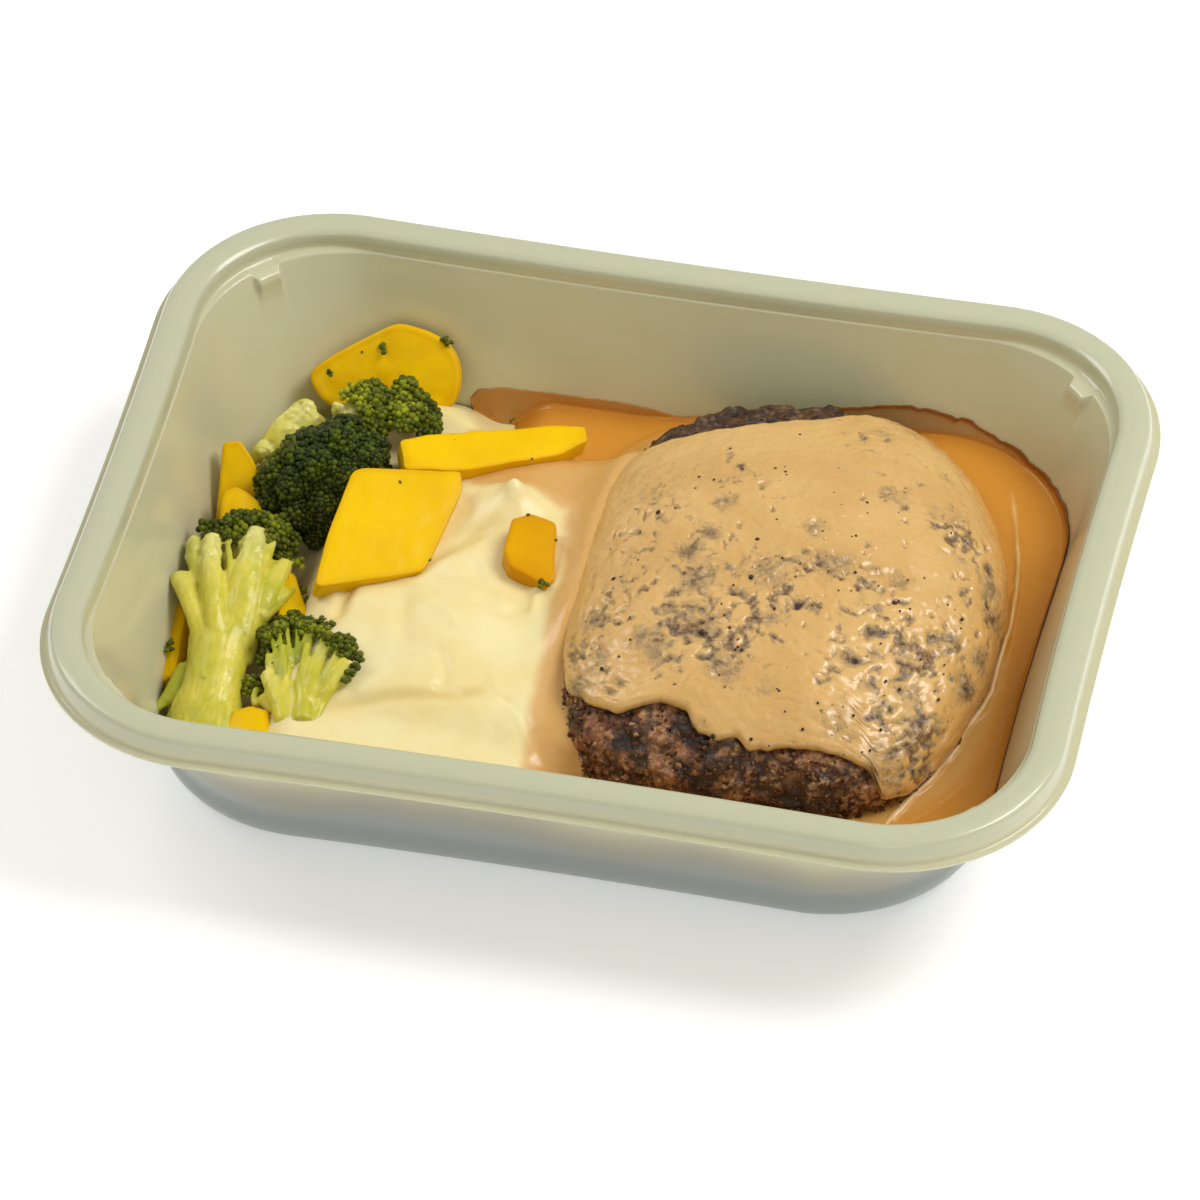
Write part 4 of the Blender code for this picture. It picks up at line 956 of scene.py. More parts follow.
def room_tables():
    """The inner wall's plan distance from the middle for each direction, at a few heights."""
    turn = np.linspace(-np.pi, np.pi, 721)
    table = []
    for height in ROOM_HEIGHTS:
        inset, corner = wall_row(max(height, WALL_FOOT))
        drop = max(WALL_FOOT - height, 0.0)
        inset += ROOM_CLEARANCE + 0.35 * drop + 0.05 * drop ** 2
        ring = tray_ring(inset, corner - ROOM_CLEARANCE - 0.3 * drop, 0.0)
        way = np.arctan2(ring[:, 1], ring[:, 0])
        order = np.argsort(way)
        table.append(np.interp(turn, way[order], np.hypot(*ring.T)[order], period=2 * np.pi))
    return turn, np.array(table)


def room_reach(angle, height):
    """Plan distance from the middle to the inner wall, in a direction and at a height."""
    turn, table = room_tables()
    rows = np.array([np.interp(angle, turn, row) for row in table])
    level = np.interp(height, ROOM_HEIGHTS, np.arange(len(ROOM_HEIGHTS)))
    lower = np.clip(np.floor(level).astype(int), 0, len(ROOM_HEIGHTS) - 2)
    part = level - lower
    first, second = (np.take_along_axis(rows, lower[None] + k, axis=0)[0] for k in (0, 1))
    return first * (1 - part) + second * part


def room_place(across, along, height):
    """Plan place of a point of a square from -1 to 1, stretched so that the square's edge lies on the inner wall."""
    way = np.arctan2(along * TRAY_WIDTH * 0.42, across * TRAY_LENGTH * 0.42)
    out = room_reach(way, height) * np.maximum(np.abs(across), np.abs(along))
    return np.cos(way) * out, np.sin(way) * out


def wall_gap(x, y, height):
    """Plan distance from a place to the inner wall, measured away from the middle."""
    return room_reach(np.arctan2(y, x), height) - np.hypot(x, y)


def packed(count, start, end):
    """Numbers from start to end that lie closer together towards -1 and 1."""
    low, high = (np.arcsin(np.clip(value, -1, 1)) for value in (start, end))
    return np.sin(np.linspace(low * 0.999, high * 0.999, count)) / math.sin(math.pi / 2 * 0.999)


def filled_block(height_of, start, end, rows, columns):
    """A soft filling of the tray: a grid over a part of the room, from start to end across where -1 and 1 are the end
    walls, lifted to a height function, with sides that follow the wall down and a flat floor."""
    across, along = np.meshgrid(packed(columns, start, end), packed(rows, -1.0, 1.0), indexing="ij")
    height = np.full(across.shape, 12.0)
    for _ in range(4):
        height = height_of(*room_place(across, along, height))
    top = spots_at(*room_place(across, along, height), height).reshape(-1, 3)
    index = np.arange(columns * rows).reshape(columns, rows)
    border = np.concatenate([index[:-1, 0], index[-1, :-1], index[:0:-1, -1], index[0, :0:-1]])
    rings = []
    for share in (0.35, 0.7, 1.0):
        level = top[border, 2] * (1 - share) + FLOOR * share
        rings.append(spots_at(*room_place(across.ravel()[border], along.ravel()[border], level), level))
    points = np.vstack([top] + rings + [[(*rings[-1][:, :2].mean(axis=0), FLOOR)]])
    lower = [border] + [np.arange(len(border)) + len(top) + k * len(border) for k in range(3)]
    faces = [grid_faces(columns, rows)]
    if corner_normals(points, faces[0])[:, 2].sum() < 0:
        faces[0] = faces[0][:, ::-1]
    centre = points[faces[0]].mean(axis=(0, 1))
    for upper, under in zip(lower[:-1], lower[1:]):
        strip = np.stack([upper, under, np.roll(under, -1), np.roll(upper, -1)], axis=-1)
        outward = ((points[strip[:, 0]] + points[strip[:, 2]]) / 2 - centre) * (1, 1, 0)
        faces.append(strip if (corner_normals(points, strip) * outward).sum() > 0 else strip[:, ::-1])
    floor = fan_faces(lower[-1], len(points) - 1)
    faces.append(floor[:, ::-1] if corner_normals(points, floor)[:, 2].sum() > 0 else floor)
    return points, faces


# Mashed potato

def steak_gap(x, y):
    """Plan distance from the steak's outline, 0 inside it, and the direction seen from the steak's middle."""
    x, y = x - STEAK_CENTRE[0], y - STEAK_CENTRE[1]
    angle = np.arctan2(y, x)
    return np.maximum(np.hypot(x, y) - steak_reach(angle, 0.0), 0.0), np.degrees(angle) % 360


def bank(x, y, height):
    """The sauce's slope up to the left and back left of the steak, where the coat runs out over its neighbours."""
    gap, degrees = steak_gap(x, y)
    return height * (rise(degrees, 105, 30) * rise(degrees, 222, -24)) * np.exp(-(gap / 6.5) ** 1.5)


def mash_height(x, y):
    """Height of the mashed potato: a plateau with a front terrace, low under the vegetables, with a pointed peak,
    soft folds and creases."""
    terrace, plateau, low = 18.2, 21.5, 8.0
    front = smooth_step((y + 45 + 0.08 * (x + 40)) / 11.0)
    height = terrace + (plateau - terrace) * front
    height = low + (height - low) * rise(x, -74, 16.0)
    back_line = 50.0 + 12.0 * rise(x, -30, -18.0)
    height = height - (height - low) * smooth_step((y - back_line + 12) / 22.0)
    height = height + 5.0 * bell(x, y, (-26, 24), 9, 8) + 2.2 * bell(x, y, (-40, -14), 13, 11)
    height = height - 2.4 * bell(x, y, (-60, -20), 4, 12)
    height = height + 1.4 * np.sin(x / 6.5 + 0.6 * np.sin(y / 9.0)) * bell(x, y, (-30, -10), 26, 26)
    height = height - (height - low) * (rise(x, -8, 12.0) * rise(y, -42, -10.0))
    height = height + 0.5 * layered_noise(spots_at(x, y), 17, 3, seed=5)
    for crease, width, depth in MASH_CREASES:
        gap, along = line_distance(x, y, photo_at_height(crease, 21.5))
        ends = rise(along, 0, 0.2) * rise(along, 1, -0.2)
        height = height - depth * np.exp(-(gap / width) ** 2) * ends
    tip = photo_at_height([MASH_TIP], 26.0)[0]
    return height + 3.2 * bell(x, y, tip, 2.4, 2.2) + bank(x, y, 6.0)


def build_mash(material):
    """The potato as a filling of the tray's left part, with values for sauce lying on it and for painted shade along
    its main creases.
    """
    points, faces = filled_block(mash_height, -1.0, 0.06, 250, 210)
    x, y = points[:, 0], points[:, 1]
    stain = area_depth(x, y, photo_at_height(SAUCE_OVER_MASH, 21.0))
    # Painted shade along the first three creases.
    fold = np.zeros(len(points))
    for crease, width, _ in MASH_CREASES[:3]:
        gap, _ = line_distance(x, y, photo_at_height(crease, 21.5))
        fold = np.maximum(fold, 0.4 * np.exp(-(gap / (width * 1.3)) ** 2))
    values = {"sauce": np.clip(0.5 + stain / 4.5, 0, 1.6), "fold": fold}
    add_piece("mash", (points, faces, values), material, "mashed_potato")


# Sauce pool

def cream_reach(x, y):
    """Signed distance inside the cream that has run off the steak, wider in front and on the right."""
    gap, degrees = steak_gap(x, y)
    return np.interp(degrees, *CREAM_WIDTHS) - gap


def pool_height(x, y):
    """Height of the loose sauce: level in front, banked up in the back right corner, a bead where the cream ends,
    and a slight rise at the wall."""
    level, corner = 13.5, 19.0
    share = rise(x, 20, 45.0) * rise(y, -10, 50.0)
    height = level + (corner - level) * share - 0.7 * level * rise(x, -26, -16.0)
    height = height + 0.3 * np.sin(x / 11.0) * np.cos(y / 13.0)
    line, along = line_distance(x, y, photo_at_height(CREAM_LINE, 15.0))
    places = spots_at(x, y)
    shown = rise(along, 0, 0.12) * rise(along, 1, -0.08)
    line = line + 0.35 * soft_noise(places, 2.2, seed=8)
    height = height + shown * (0.95 + 0.4 * soft_noise(places, 3.5, seed=18)) * np.exp(-(line / 0.6) ** 2)
    height = height + 0.35 * smooth_step(cream_reach(x, y) / 2.0)
    wall = np.maximum(wall_gap(x, y, height), 0)
    height = height + 0.5 * np.exp(-wall / 0.9) + bank(x, y, 9.0)
    return height + 0.14 * layered_noise(places, 8, 3, seed=9)


def build_wall_film(material):
    """Sauce dried on the wall above the pool: a thin skin from just under the pool's surface up to a ragged line,
    darkest along that line. The right wall is seen too flat for a height, so the film stays low there."""
    marks = photo_on_wall(WALL_FILM)
    way = np.unwrap(np.arctan2(marks[:, 1], marks[:, 0]))[::-1]
    angle = np.linspace(way[0], way[-1], 640)
    out = room_reach(angle, np.full(len(angle), 16.0))
    x, y = np.cos(angle) * out, np.sin(angle) * out
    inside = 1 - 2.2 / out
    surface = np.where(x > -42, pool_height(x * inside, y * inside), mash_height(x * inside, y * inside))
    ragged = layered_noise(spots_at(x, y), 3.2, 3, seed=28)
    behind = rise(x, 30, 10) * rise(y, 5, 20)
    top = np.interp(angle, way, marks[::-1, 2]) + ragged * (0.35 + 0.55 * behind)
    low = surface + 0.5 + (2.2 + 0.5 * ragged) * rise(y, -58, 100)
    top = np.maximum(np.where(x > 90, np.minimum(top, low), top), surface + 0.3)
    rows = [(2.2, surface - 0.35), (1.5, surface - 0.02), (0.9, surface + 0.10), (0.5, surface + 0.3)]
    rows += [(0.3 - 0.12 * part, surface + 0.3 + (top - surface - 0.3) * part) for part in np.linspace(0.08, 1, 16)]
    rows += [(-0.05, top), (-0.1, (top + surface) / 2), (0.0, surface - 1.0)]
    grid, edge, clear = [], [], []
    for gap, height in rows:
        grid.append(round_to(angle, room_reach(angle, height) - gap, height))
        dark = np.exp(-np.maximum(top - height, 0) / (0.8 + 0.5 * ragged)) * (0.2 + 0.85 * behind)
        # The edge value: painted shade towards the wall, as on the pool, plus the dark dried line.
        edge.append(np.clip(0.40 * math.exp(-max(gap, 0.0) / 6.0) + dark, 0, 1))
        wet = smooth_step((height - surface - 0.4) / 1.6) * rise(x, 84, -14) * (0.45 + 0.55 * rise(x, -20, 40))
        clear.append(np.clip(wet * np.clip(1 - 1.5 * dark, 0, 1) * (0.62 + 0.25 * ragged), 0, 1))
    body = capped_grid(np.array(grid).transpose(1, 0, 2), {"edge": np.array(edge).T, "clear": np.array(clear).T})
    add_piece("sauce_film", body, material, "sauce_pool", turn=True)


def build_pool(material):
    """The loose sauce as a filling of the tray's right part, with values for cream in it, whose bead is partly painted
    highlight, and for painted shade towards the wall.
    """
    points, faces = filled_block(pool_height, -0.42, 1.0, 240, 240)
    x, y, z = points.T
    ragged = 1.3 * layered_noise(points, 5, 3, seed=21)
    wall = np.maximum(wall_gap(x, y, z), 0)
    # The edge value is painted shade of the sauce towards the wall.
    edge = 0.40 * np.exp(-np.maximum(wall + 0.5 * ragged, 0) / 6.0)
    line, _ = line_distance(x, y, photo_at_height(CREAM_LINE, 15.0))
    cream = smooth_step((cream_reach(x, y) + 0.6 * ragged) / 5.0)
    # The bead along the cream line is paler: thick cream, partly a painted highlight.
    cream = cream + 1.3 * np.exp(-((line + 0.3 * ragged) / 0.45) ** 2)
    values = {"cream": cream, "edge": np.clip(edge, 0, 1)}
    add_piece("sauce_around_steak", (points, faces, values), material, "sauce_pool")


# Steak and its coat

def steak_reach(angle, grow):
    """Plan radius of the steak: an oval, squarer at the front left than at the back right."""
    squareness = 2.9 + 0.95 * np.cos(angle - math.radians(225))
    across = np.abs(np.cos(angle)) / (STEAK_HALF_WIDTH + grow)
    along = np.abs(np.sin(angle)) / (STEAK_HALF_DEPTH + grow)
    return (across ** squareness + along ** squareness) ** (-1.0 / squareness)


def steak_depth(points, grow):
    """Below 1 inside the steak's rounded form, 1 on it, above 1 outside."""
    x, y, z = (points - (*STEAK_CENTRE, STEAK_WAIST)).T
    out = np.hypot(x, y) / steak_reach(np.arctan2(y, x), grow)
    above = np.where(z > 0, STEAK_TOP - STEAK_WAIST + grow, STEAK_WAIST - STEAK_BOTTOM)
    return (out ** STEAK_ROUNDING + np.abs(z / above) ** STEAK_ROUNDING) ** (1 / STEAK_ROUNDING)


def steak_surface(angle, polar, grow):
    """Points on the steak: polar runs from 0 at the top, over a right angle at the waist, to the underside."""
    power = 2.0 / STEAK_ROUNDING
    out = np.maximum(np.sin(polar), 0.0) ** power
    up = np.sign(np.cos(polar)) * np.abs(np.cos(polar)) ** power
    above = np.where(up > 0, STEAK_TOP - STEAK_WAIST + grow, STEAK_WAIST - STEAK_BOTTOM)
    radius = steak_reach(angle, grow) * out
    points = spots_at(STEAK_CENTRE[0] + radius * np.cos(angle), STEAK_CENTRE[1] + radius * np.sin(angle),
                      STEAK_WAIST + above * up)
    return points + round_to(angle, 1.0, 0.35) * (1.1 * soft_noise(points, 24, seed=3) * out)[..., None]


def steak_polar(height, low, high):
    """The polar angle at which the steak's surface has a height, kept between two shares of the way to its top."""
    up = np.clip((height - STEAK_WAIST) / (STEAK_TOP - STEAK_WAIST), low, high)
    return np.arccos(np.sign(up) * np.abs(up) ** (STEAK_ROUNDING / 2))


def grid_normals(grid, level):
    """Unit normals of a grid that is closed in its second direction, turned up at one level."""
    around = (np.roll(grid, -1, axis=1) - np.roll(grid, 1, axis=1)) / 2
    normals = unit(np.cross(np.gradient(grid, axis=0), around))
    return -normals if normals[level, :, 2].mean() < 0 else normals


def full_turn(count, levels):
    """Directions all round, the same for a number of levels."""
    return np.linspace(0, 2 * np.pi, count, endpoint=False)[None, :] * np.ones((levels, 1))


def build_steak_body(material):
    """The patty: its rounded form with grains of mince pushed out along the normals, coarse and fine."""
    around, levels = 420, 196
    angle = full_turn(around, levels)
    polar = np.linspace(0.02, 0.93 * np.pi, levels)[:, None] * np.ones((1, around))
    grid = steak_surface(angle, polar, 0.0)
    bent = grid + 1.5 * drift(grid, 5, 91, 92, 93)
    coarse, own = grain_noise(bent, 6.0, seed=2)
    fine, small = grain_noise(bent, 2.1, seed=7)
    lump = np.maximum(0.0, 1 - coarse ** 2 * 1.3) * (0.3 + own)
    bead = np.maximum(0.0, 1 - fine ** 2 * 1.4) * (0.2 + small)
    lift = 1.7 * lump + 0.75 * bead + 0.8 * layered_noise(grid, 9, 4, seed=14) - 1.15
    degrees = np.degrees(angle)
    behind = rise(degrees, 80, 14) * rise(degrees, 140, -10)
    behind = behind * smooth_step((coat_edge_height(angle) + 0.6 - grid[..., 2]) / 1.2)
    lift = lift + behind * rise(grid[..., 2], 20, 6) * (1.0 + 0.7 * lump + 0.4 * bead)
    floor = smooth_step((grid[..., 2] - STEAK_BOTTOM - 0.6) / 3.0)
    grid = grid + grid_normals(grid, levels // 3) * (lift * floor)[..., None] * 0.85
    grid[..., 2] = np.maximum(grid[..., 2], STEAK_BOTTOM)
    body = capped_grid(grid, {"crumb": np.clip(own * 0.6 + small * 0.6, 0, 1)})
    add_piece("steak_body", body, material, "hamburger_steak", turn=True)


def coat_edge_height(angle):
    """Height at which the coat ends: read off the photograph over the bare crust in front and behind, low elsewhere,
    and ragged where it ends on crust."""
    points = photo_on_steak(COAT_EDGE_FRONT)
    turn = np.degrees(np.arctan2(points[:, 1] - STEAK_CENTRE[1], points[:, 0] - STEAK_CENTRE[0])) % 360
    marks = [mark for mark in COAT_EDGE_SIDES if not turn.min() - 4 < mark[0] < turn.max() + 4]
    marks = np.array(sorted(marks + list(zip(turn, np.minimum(points[:, 2], STEAK_TOP - 2.5)))))
    degrees = np.degrees(angle) % 360
    on_crust = rise(degrees, 220, 12) * rise(degrees, 318, -12)
    on_crust = on_crust + 0.4 * rise(degrees, 92, 10) * rise(degrees, 150, -10)
    ragged = 0.9 * layered_noise(round_to(angle, 1.0) * 50, 6, 4, seed=31)
    return np.interp(degrees, marks[:, 0], marks[:, 1]) + ragged * on_crust


def meat_showing(points):
    """How much meat shows through the sauce: bells at the patches seen in the photograph, and in the regions between
    them streaks of noise drawn out across the steak."""
    drawn = points + 1.6 * drift(points, 4, 41, 42, 43)
    shown = region = np.zeros(points.shape[:-1])
    for patches, places in ((MEAT_PATCHES, drawn), (MEAT_REGIONS, points)):
        for (_, _, radius, strength), centre in zip(patches, photo_on_steak([patch[:2] for patch in patches])):
            near = strength * np.exp(-((places - centre) ** 2).sum(axis=-1) / radius ** 2)
            if patches is MEAT_PATCHES:
                shown = np.maximum(shown, near)
            else:
                region = region + near
    x, y, z = np.moveaxis(points, -1, 0)
    turned = spots_at(x * 0.8 + y * 0.6, (y * 0.8 - x * 0.6) * 0.55, z * 0.7)
    streak = 0.42 * layered_noise(turned, 4.2, 3, seed=45) + 0.80 * layered_noise(drawn, 1.9, 2, seed=47)
    spread = smooth_step((np.minimum(region, 0.66) * 1.15 + streak * 0.9 - 0.36) / 0.55)
    return np.maximum(shown * (0.85 + 0.5 * streak), 0.85 * spread)


def build_coat_skin(settings, material):
    """The cream sauce as a skin over the steak: smooth and rippled where thick, sunk onto the grains of mince where
    it is thin, rounded off at its lower edge, with a plain underside."""
    around, rings = 430, 178
    angle = full_turn(around, rings)
    share = np.linspace(0.004, 1, rings)[:, None] * np.ones((1, around))
    last = steak_polar(coat_edge_height(angle[0]), 0.01, 1)
    blend = np.exp(-(np.arange(-36, 37) / 14.0) ** 2)
    even = np.convolve(np.concatenate([last[-36:], last, last[:36]]), blend / blend.sum(), "valid")
    polar = even * share + (last - even) * share ** 3
    base = steak_surface(angle, polar, 0.9)
    shown = meat_showing(base)
    grain, own = grain_noise(base, 2.1, seed=61)
    bead = np.maximum(0.0, 1 - grain ** 2 * 1.6) * (0.3 + own)
    ripple = layered_noise(base, 10, 3, seed=66)
    wrinkle = soft_noise(base * (1.0, 0.6, 0.6), 3.1, seed=71)
    ruffled = rise(base[..., 0], 42, 26) * rise(base[..., 1], 28, -26)
    thick = settings.coat_depth / MM + 0.40 * ripple + (0.10 + 0.28 * ruffled) * wrinkle + 0.22 * bead
    thick = thick - 0.75 * smooth_step(shown * 1.5) + 0.75 * bead * smooth_step((shown - 0.12) * 1.7)
    edge = np.sqrt(np.clip(1 - np.clip((share - 0.93) / 0.07, 0, 1) ** 2, 0, 1))
    outer = base + grid_normals(base, rings // 2) * (np.maximum(thick, 0.25) * edge)[..., None]
    inner = steak_surface(angle[::-12], polar[::-12], 0.35)
    body = capped_grid(np.concatenate([outer, inner]), {"meat": np.concatenate([shown, np.zeros(inner.shape[:2])])})
    add_piece("cream_coat", body, material, "sauce_coat", turn=True)


def build_crumbs(settings, material):
    """Loose grains on the bare crust in front and behind: small uneven lumps set on the steak's surface."""
    chooser = np.random.default_rng(settings.seed + 9)
    turn = np.radians(np.concatenate([chooser.uniform(222, 322, 1700), chooser.uniform(96, 140, 300)]))
    level = chooser.uniform(4, 31, len(turn))
    polar = steak_polar(level, -0.95, 0.99)
    below = level < coat_edge_height(turn) + 0.5
    turn, polar = turn[below], polar[below]
    spots = steak_surface(turn, polar, 0.35)
    out = round_to(turn, np.sin(polar), np.cos(polar) * 0.8 + 0.1)
    out = unit(out + chooser.normal(0, 0.3, out.shape))
    sizes = chooser.uniform(0.2, 0.6, len(spots)) * np.where(chooser.random(len(spots)) < 0.08, 1.6, 1.0)
    points, faces, values = scattered(bead_shape(6, 3, 0.6), spots, out, sizes, chooser, 0.5)
    points = points + 0.35 * drift(points, 0.55, 81, 82, 83)
    add_piece("crust_crumbs", (points, faces, values), material, "hamburger_steak")


def build_pepper(settings, material):
    """Pepper flakes: small flattened grains, seeded at random over the coat."""
    chooser = np.random.default_rng(settings.seed)
    spots = np.c_[chooser.uniform(585, 985, settings.flakes), chooser.uniform(415, 790, settings.flakes)]
    centres = photo_on_steak(spots, grow=2.4)
    x, y = (centres[:, :2] - STEAK_CENTRE).T
    on_top = np.hypot(x, y) < steak_reach(np.arctan2(y, x), 0.0) * 0.94
    centres = centres[on_top & (centres[:, 2] > 24 + 4 * (centres[:, 1] < -25))]
    out = unit(np.c_[(centres[:, :2] - STEAK_CENTRE) / 50, np.full(len(centres), 0.9)])
    sizes = chooser.uniform(0.16, 0.42, len(centres)) * np.where(chooser.random(len(centres)) < 0.12, 1.7, 1.0)
    body = scattered(bead_shape(7, 3, 0.55), centres, out, sizes, chooser)
    add_piece("pepper_flakes", body, material, "sauce_coat")


# Repeated beads

def bead_shape(sides, rings, height):
    """A dome of unit radius on a short foot, closed below: rings of points and a tip."""
    turn = np.linspace(0, 2 * np.pi, sides, endpoint=False)
    tilt = (np.linspace(-0.55, 1.0, rings) * (np.pi / 2) * 0.78)[:, None]
    grid = spots_at(np.cos(tilt) * np.cos(turn), np.cos(tilt) * np.sin(turn), np.sin(tilt) * height)
    points = np.vstack([grid.reshape(-1, 3), [(0, 0, height)], [(0, 0, -height * 0.8)]])
    last = (rings - 1) * sides
    faces = [grid_faces(rings, sides, closed=True), fan_faces(np.arange(sides) + last, len(points) - 2),
             fan_faces(np.arange(sides)[::-1], len(points) - 1)]
    return points, turned_outwards(points, faces)


def scattered(shape, centres, directions, sizes, chooser, stretch=0.0):
    """Copies of a small shape with its top along each direction, each with its own tone."""
    shape_points, shape_faces = shape
    count, size = len(centres), len(shape_points)
    helper = np.where(np.abs(directions[:, 2:3]) > 0.9, (1.0, 0.0, 0.0), (0.0, 0.0, 1.0))
    side = unit(np.cross(directions, helper))
    across = np.cross(directions, side)
    spin = chooser.uniform(0, 2 * np.pi, count)[:, None]
    axes = (side * np.cos(spin) + across * np.sin(spin), across * np.cos(spin) - side * np.sin(spin), directions)
    scale = sizes[:, None] * (1 + stretch * chooser.uniform(-1, 1, (count, 3)))
    points = centres[:, None, :]
    for k, axis in enumerate(axes):
        points = points + axis[:, None, :] * shape_points[None, :, k:k + 1] * scale[:, None, k:k + 1]
    shift = (np.arange(count) * size)[:, None, None]
    faces = [(face[None] + shift).reshape(-1, face.shape[1]) for face in shape_faces]
    return points.reshape(-1, 3), faces, {"tone": np.repeat(chooser.random(count), size)}


def spiral_directions(count, axis, spread):
    """Evenly spaced unit vectors within an angle of an axis, on a golden-angle spiral."""
    number = np.arange(count)
    z = 1 - (1 - math.cos(spread)) * (number + 0.5) / count
    local = round_to(number * math.pi * (3 - math.sqrt(5)), np.sqrt(1 - z * z), z)
    return local @ turn_to(unit(np.asarray(axis, float)))


def turn_to(axis):
    """Rows of a rotation that carries +Z to an axis."""
    side = unit(np.cross((1.0, 0.0, 0.0) if abs(axis[0]) < 0.9 else (0.0, 1.0, 0.0), axis))
    return np.array((side, np.cross(axis, side), axis))


def lumpy_ball(centre, radius, seed, detail=14):
    """A slightly uneven ball, as the flesh under a cluster of buds."""
    tilt = np.linspace(0.12, np.pi - 0.12, detail)[:, None]
    turn = np.linspace(0, 2 * np.pi, detail * 2, endpoint=False)[None, :]
    grid = spots_at(np.sin(tilt) * np.cos(turn), np.sin(tilt) * np.sin(turn), np.cos(tilt))
    return grid * (radius * (1 + 0.08 * soft_noise(grid, 0.5, seed)))[..., None] + np.asarray(centre)


# Carrots

def carrot_plane(shape, x, y):
    """Height of a carrot slice's upper plane at plan places."""
    x0, y0 = shape["corners"][0]
    return shape["height"] + shape["slope"][0] * (x - x0) + shape["slope"][1] * (y - y0)


def build_carrot_slice(name, material):
    """A slice: its plan outline with softened corners on a tilted plane; rows run from the middle of the upper face
    over a rounded edge, down the side and back under."""
    shape = CARROTS[name]
    slope, thickness, edge = shape["slope"], shape["thickness"], shape["edge"]
    outline = rounded_corners(shape["corners"], shape.get("soft", 0.12), 7)
    lengths = np.linalg.norm(np.roll(outline, -1, axis=0) - outline, axis=1)
    walk = np.concatenate([[0], np.cumsum(lengths)])
    even = np.linspace(0, walk[-1], 150, endpoint=False)
    wrapped = np.vstack([outline, outline[:1]])
    outline = np.stack([np.interp(even, walk, wrapped[:, k]) for k in (0, 1)], axis=-1)
    outline += 0.25 * drift(np.c_[outline, outline[:, 0]], 7, 17, 18)
    tangent = np.roll(outline, -1, axis=0) - np.roll(outline, 1, axis=0)
    area = np.sum(outline[:, 0] * np.roll(outline[:, 1], -1) - outline[:, 1] * np.roll(outline[:, 0], -1))
    outward = unit(np.stack([tangent[:, 1], -tangent[:, 0]], axis=-1) * np.sign(area))
    middle = outline.mean(axis=0)
    up = unit(np.array((-slope[0], -slope[1], 1.0)))
    flat = outline - outward * edge
    rows = [(middle + (flat - middle) * part, 0.25 * (1 - part ** 2), 1 - part) for part in np.linspace(0.06, 1, 16)]
    rows += [(flat + outward * edge * math.sin(turn), -edge * (1 - math.cos(turn)), 0.0)
             for turn in np.radians(np.linspace(18, 90, 5))]
    rows += [(outline, -edge - (thickness - 2 * edge) * part, 0.0) for part in np.linspace(0.25, 1, 5)]
    rows += [(flat + outward * edge * math.cos(turn), -thickness + edge * (1 - math.sin(turn)), 0.0)
             for turn in np.radians(np.linspace(30, 90, 3))]
    rows += [(middle + (flat - middle) * part, -thickness, 0.0) for part in (0.6, 0.2)]
    grid = np.array([np.c_[plan, carrot_plane(shape, *plan.T)] + up * drop for plan, drop, _ in rows])
    rim = np.array([np.full(len(plan), 1 - min(inner * 2.5, 1.0)) for plan, _, inner in rows])
    seed = sum(ord(letter) for letter in name)
    wobble = shape.get("lumps", 0.25) * layered_noise(grid, 8, 3, seed)
    wobble = wobble + 0.06 * soft_noise(grid * (1, 0.3, 1), 1.6, seed + 3)
    body = capped_grid(grid + up * wobble[..., None], {"rim": rim})
    add_piece(name + "_slice", body, material, name, turn=True)


def above_carrot(name, margin):
    """A test that is false for places inside or under a carrot slice."""
    shape = CARROTS[name]

    def outside(spots):
        x, y, z = spots.T
        plane = carrot_plane(shape, x, y)
        covered = area_depth(x, y, shape["corners"]) > -margin
        return ~(covered & (z < plane + margin) & (z > plane - shape["thickness"] - margin))
    return outside


def carrot_top(name, pixel):
    """The place on a carrot slice's upper plane that shows at a photograph pixel, by damped steps."""
    height = CARROTS[name]["height"]
    for _ in range(60):
        place = photo_at_height([pixel], height)[0]
        height += 0.35 * (carrot_plane(CARROTS[name], *place[:2]) - height)
    return photo_at_height([pixel], height)[0]


# Broccoli

def bud_cover(clusters, bud, chooser, facing, keep_out=()):
    """Centres and directions of buds spread evenly over balls, without those hidden inside a neighbour, below the
    facing limit, or inside a keep-out slab."""
    places, ways = [], []
    for number, (centre, radius) in enumerate(clusters):
        count = int(4 * math.pi * radius ** 2 / (bud * 1.62) ** 2 / 0.84)
        out = spiral_directions(count, (0.3 * math.sin(number), 0.3 * math.cos(number), 1.0), math.pi)
        out = unit(out + chooser.normal(0, 0.035, out.shape))
        spot = centre + out * radius
        keep = facing(spot, out)
        for other, (other_centre, other_radius) in enumerate(clusters):
            if other != number:
                keep &= np.linalg.norm(spot - other_centre, axis=1) > other_radius * 0.97
        for outside in keep_out:
            keep &= outside(spot)
        places.append(spot[keep])
        ways.append(out[keep])
    return np.concatenate(places), np.concatenate(ways)


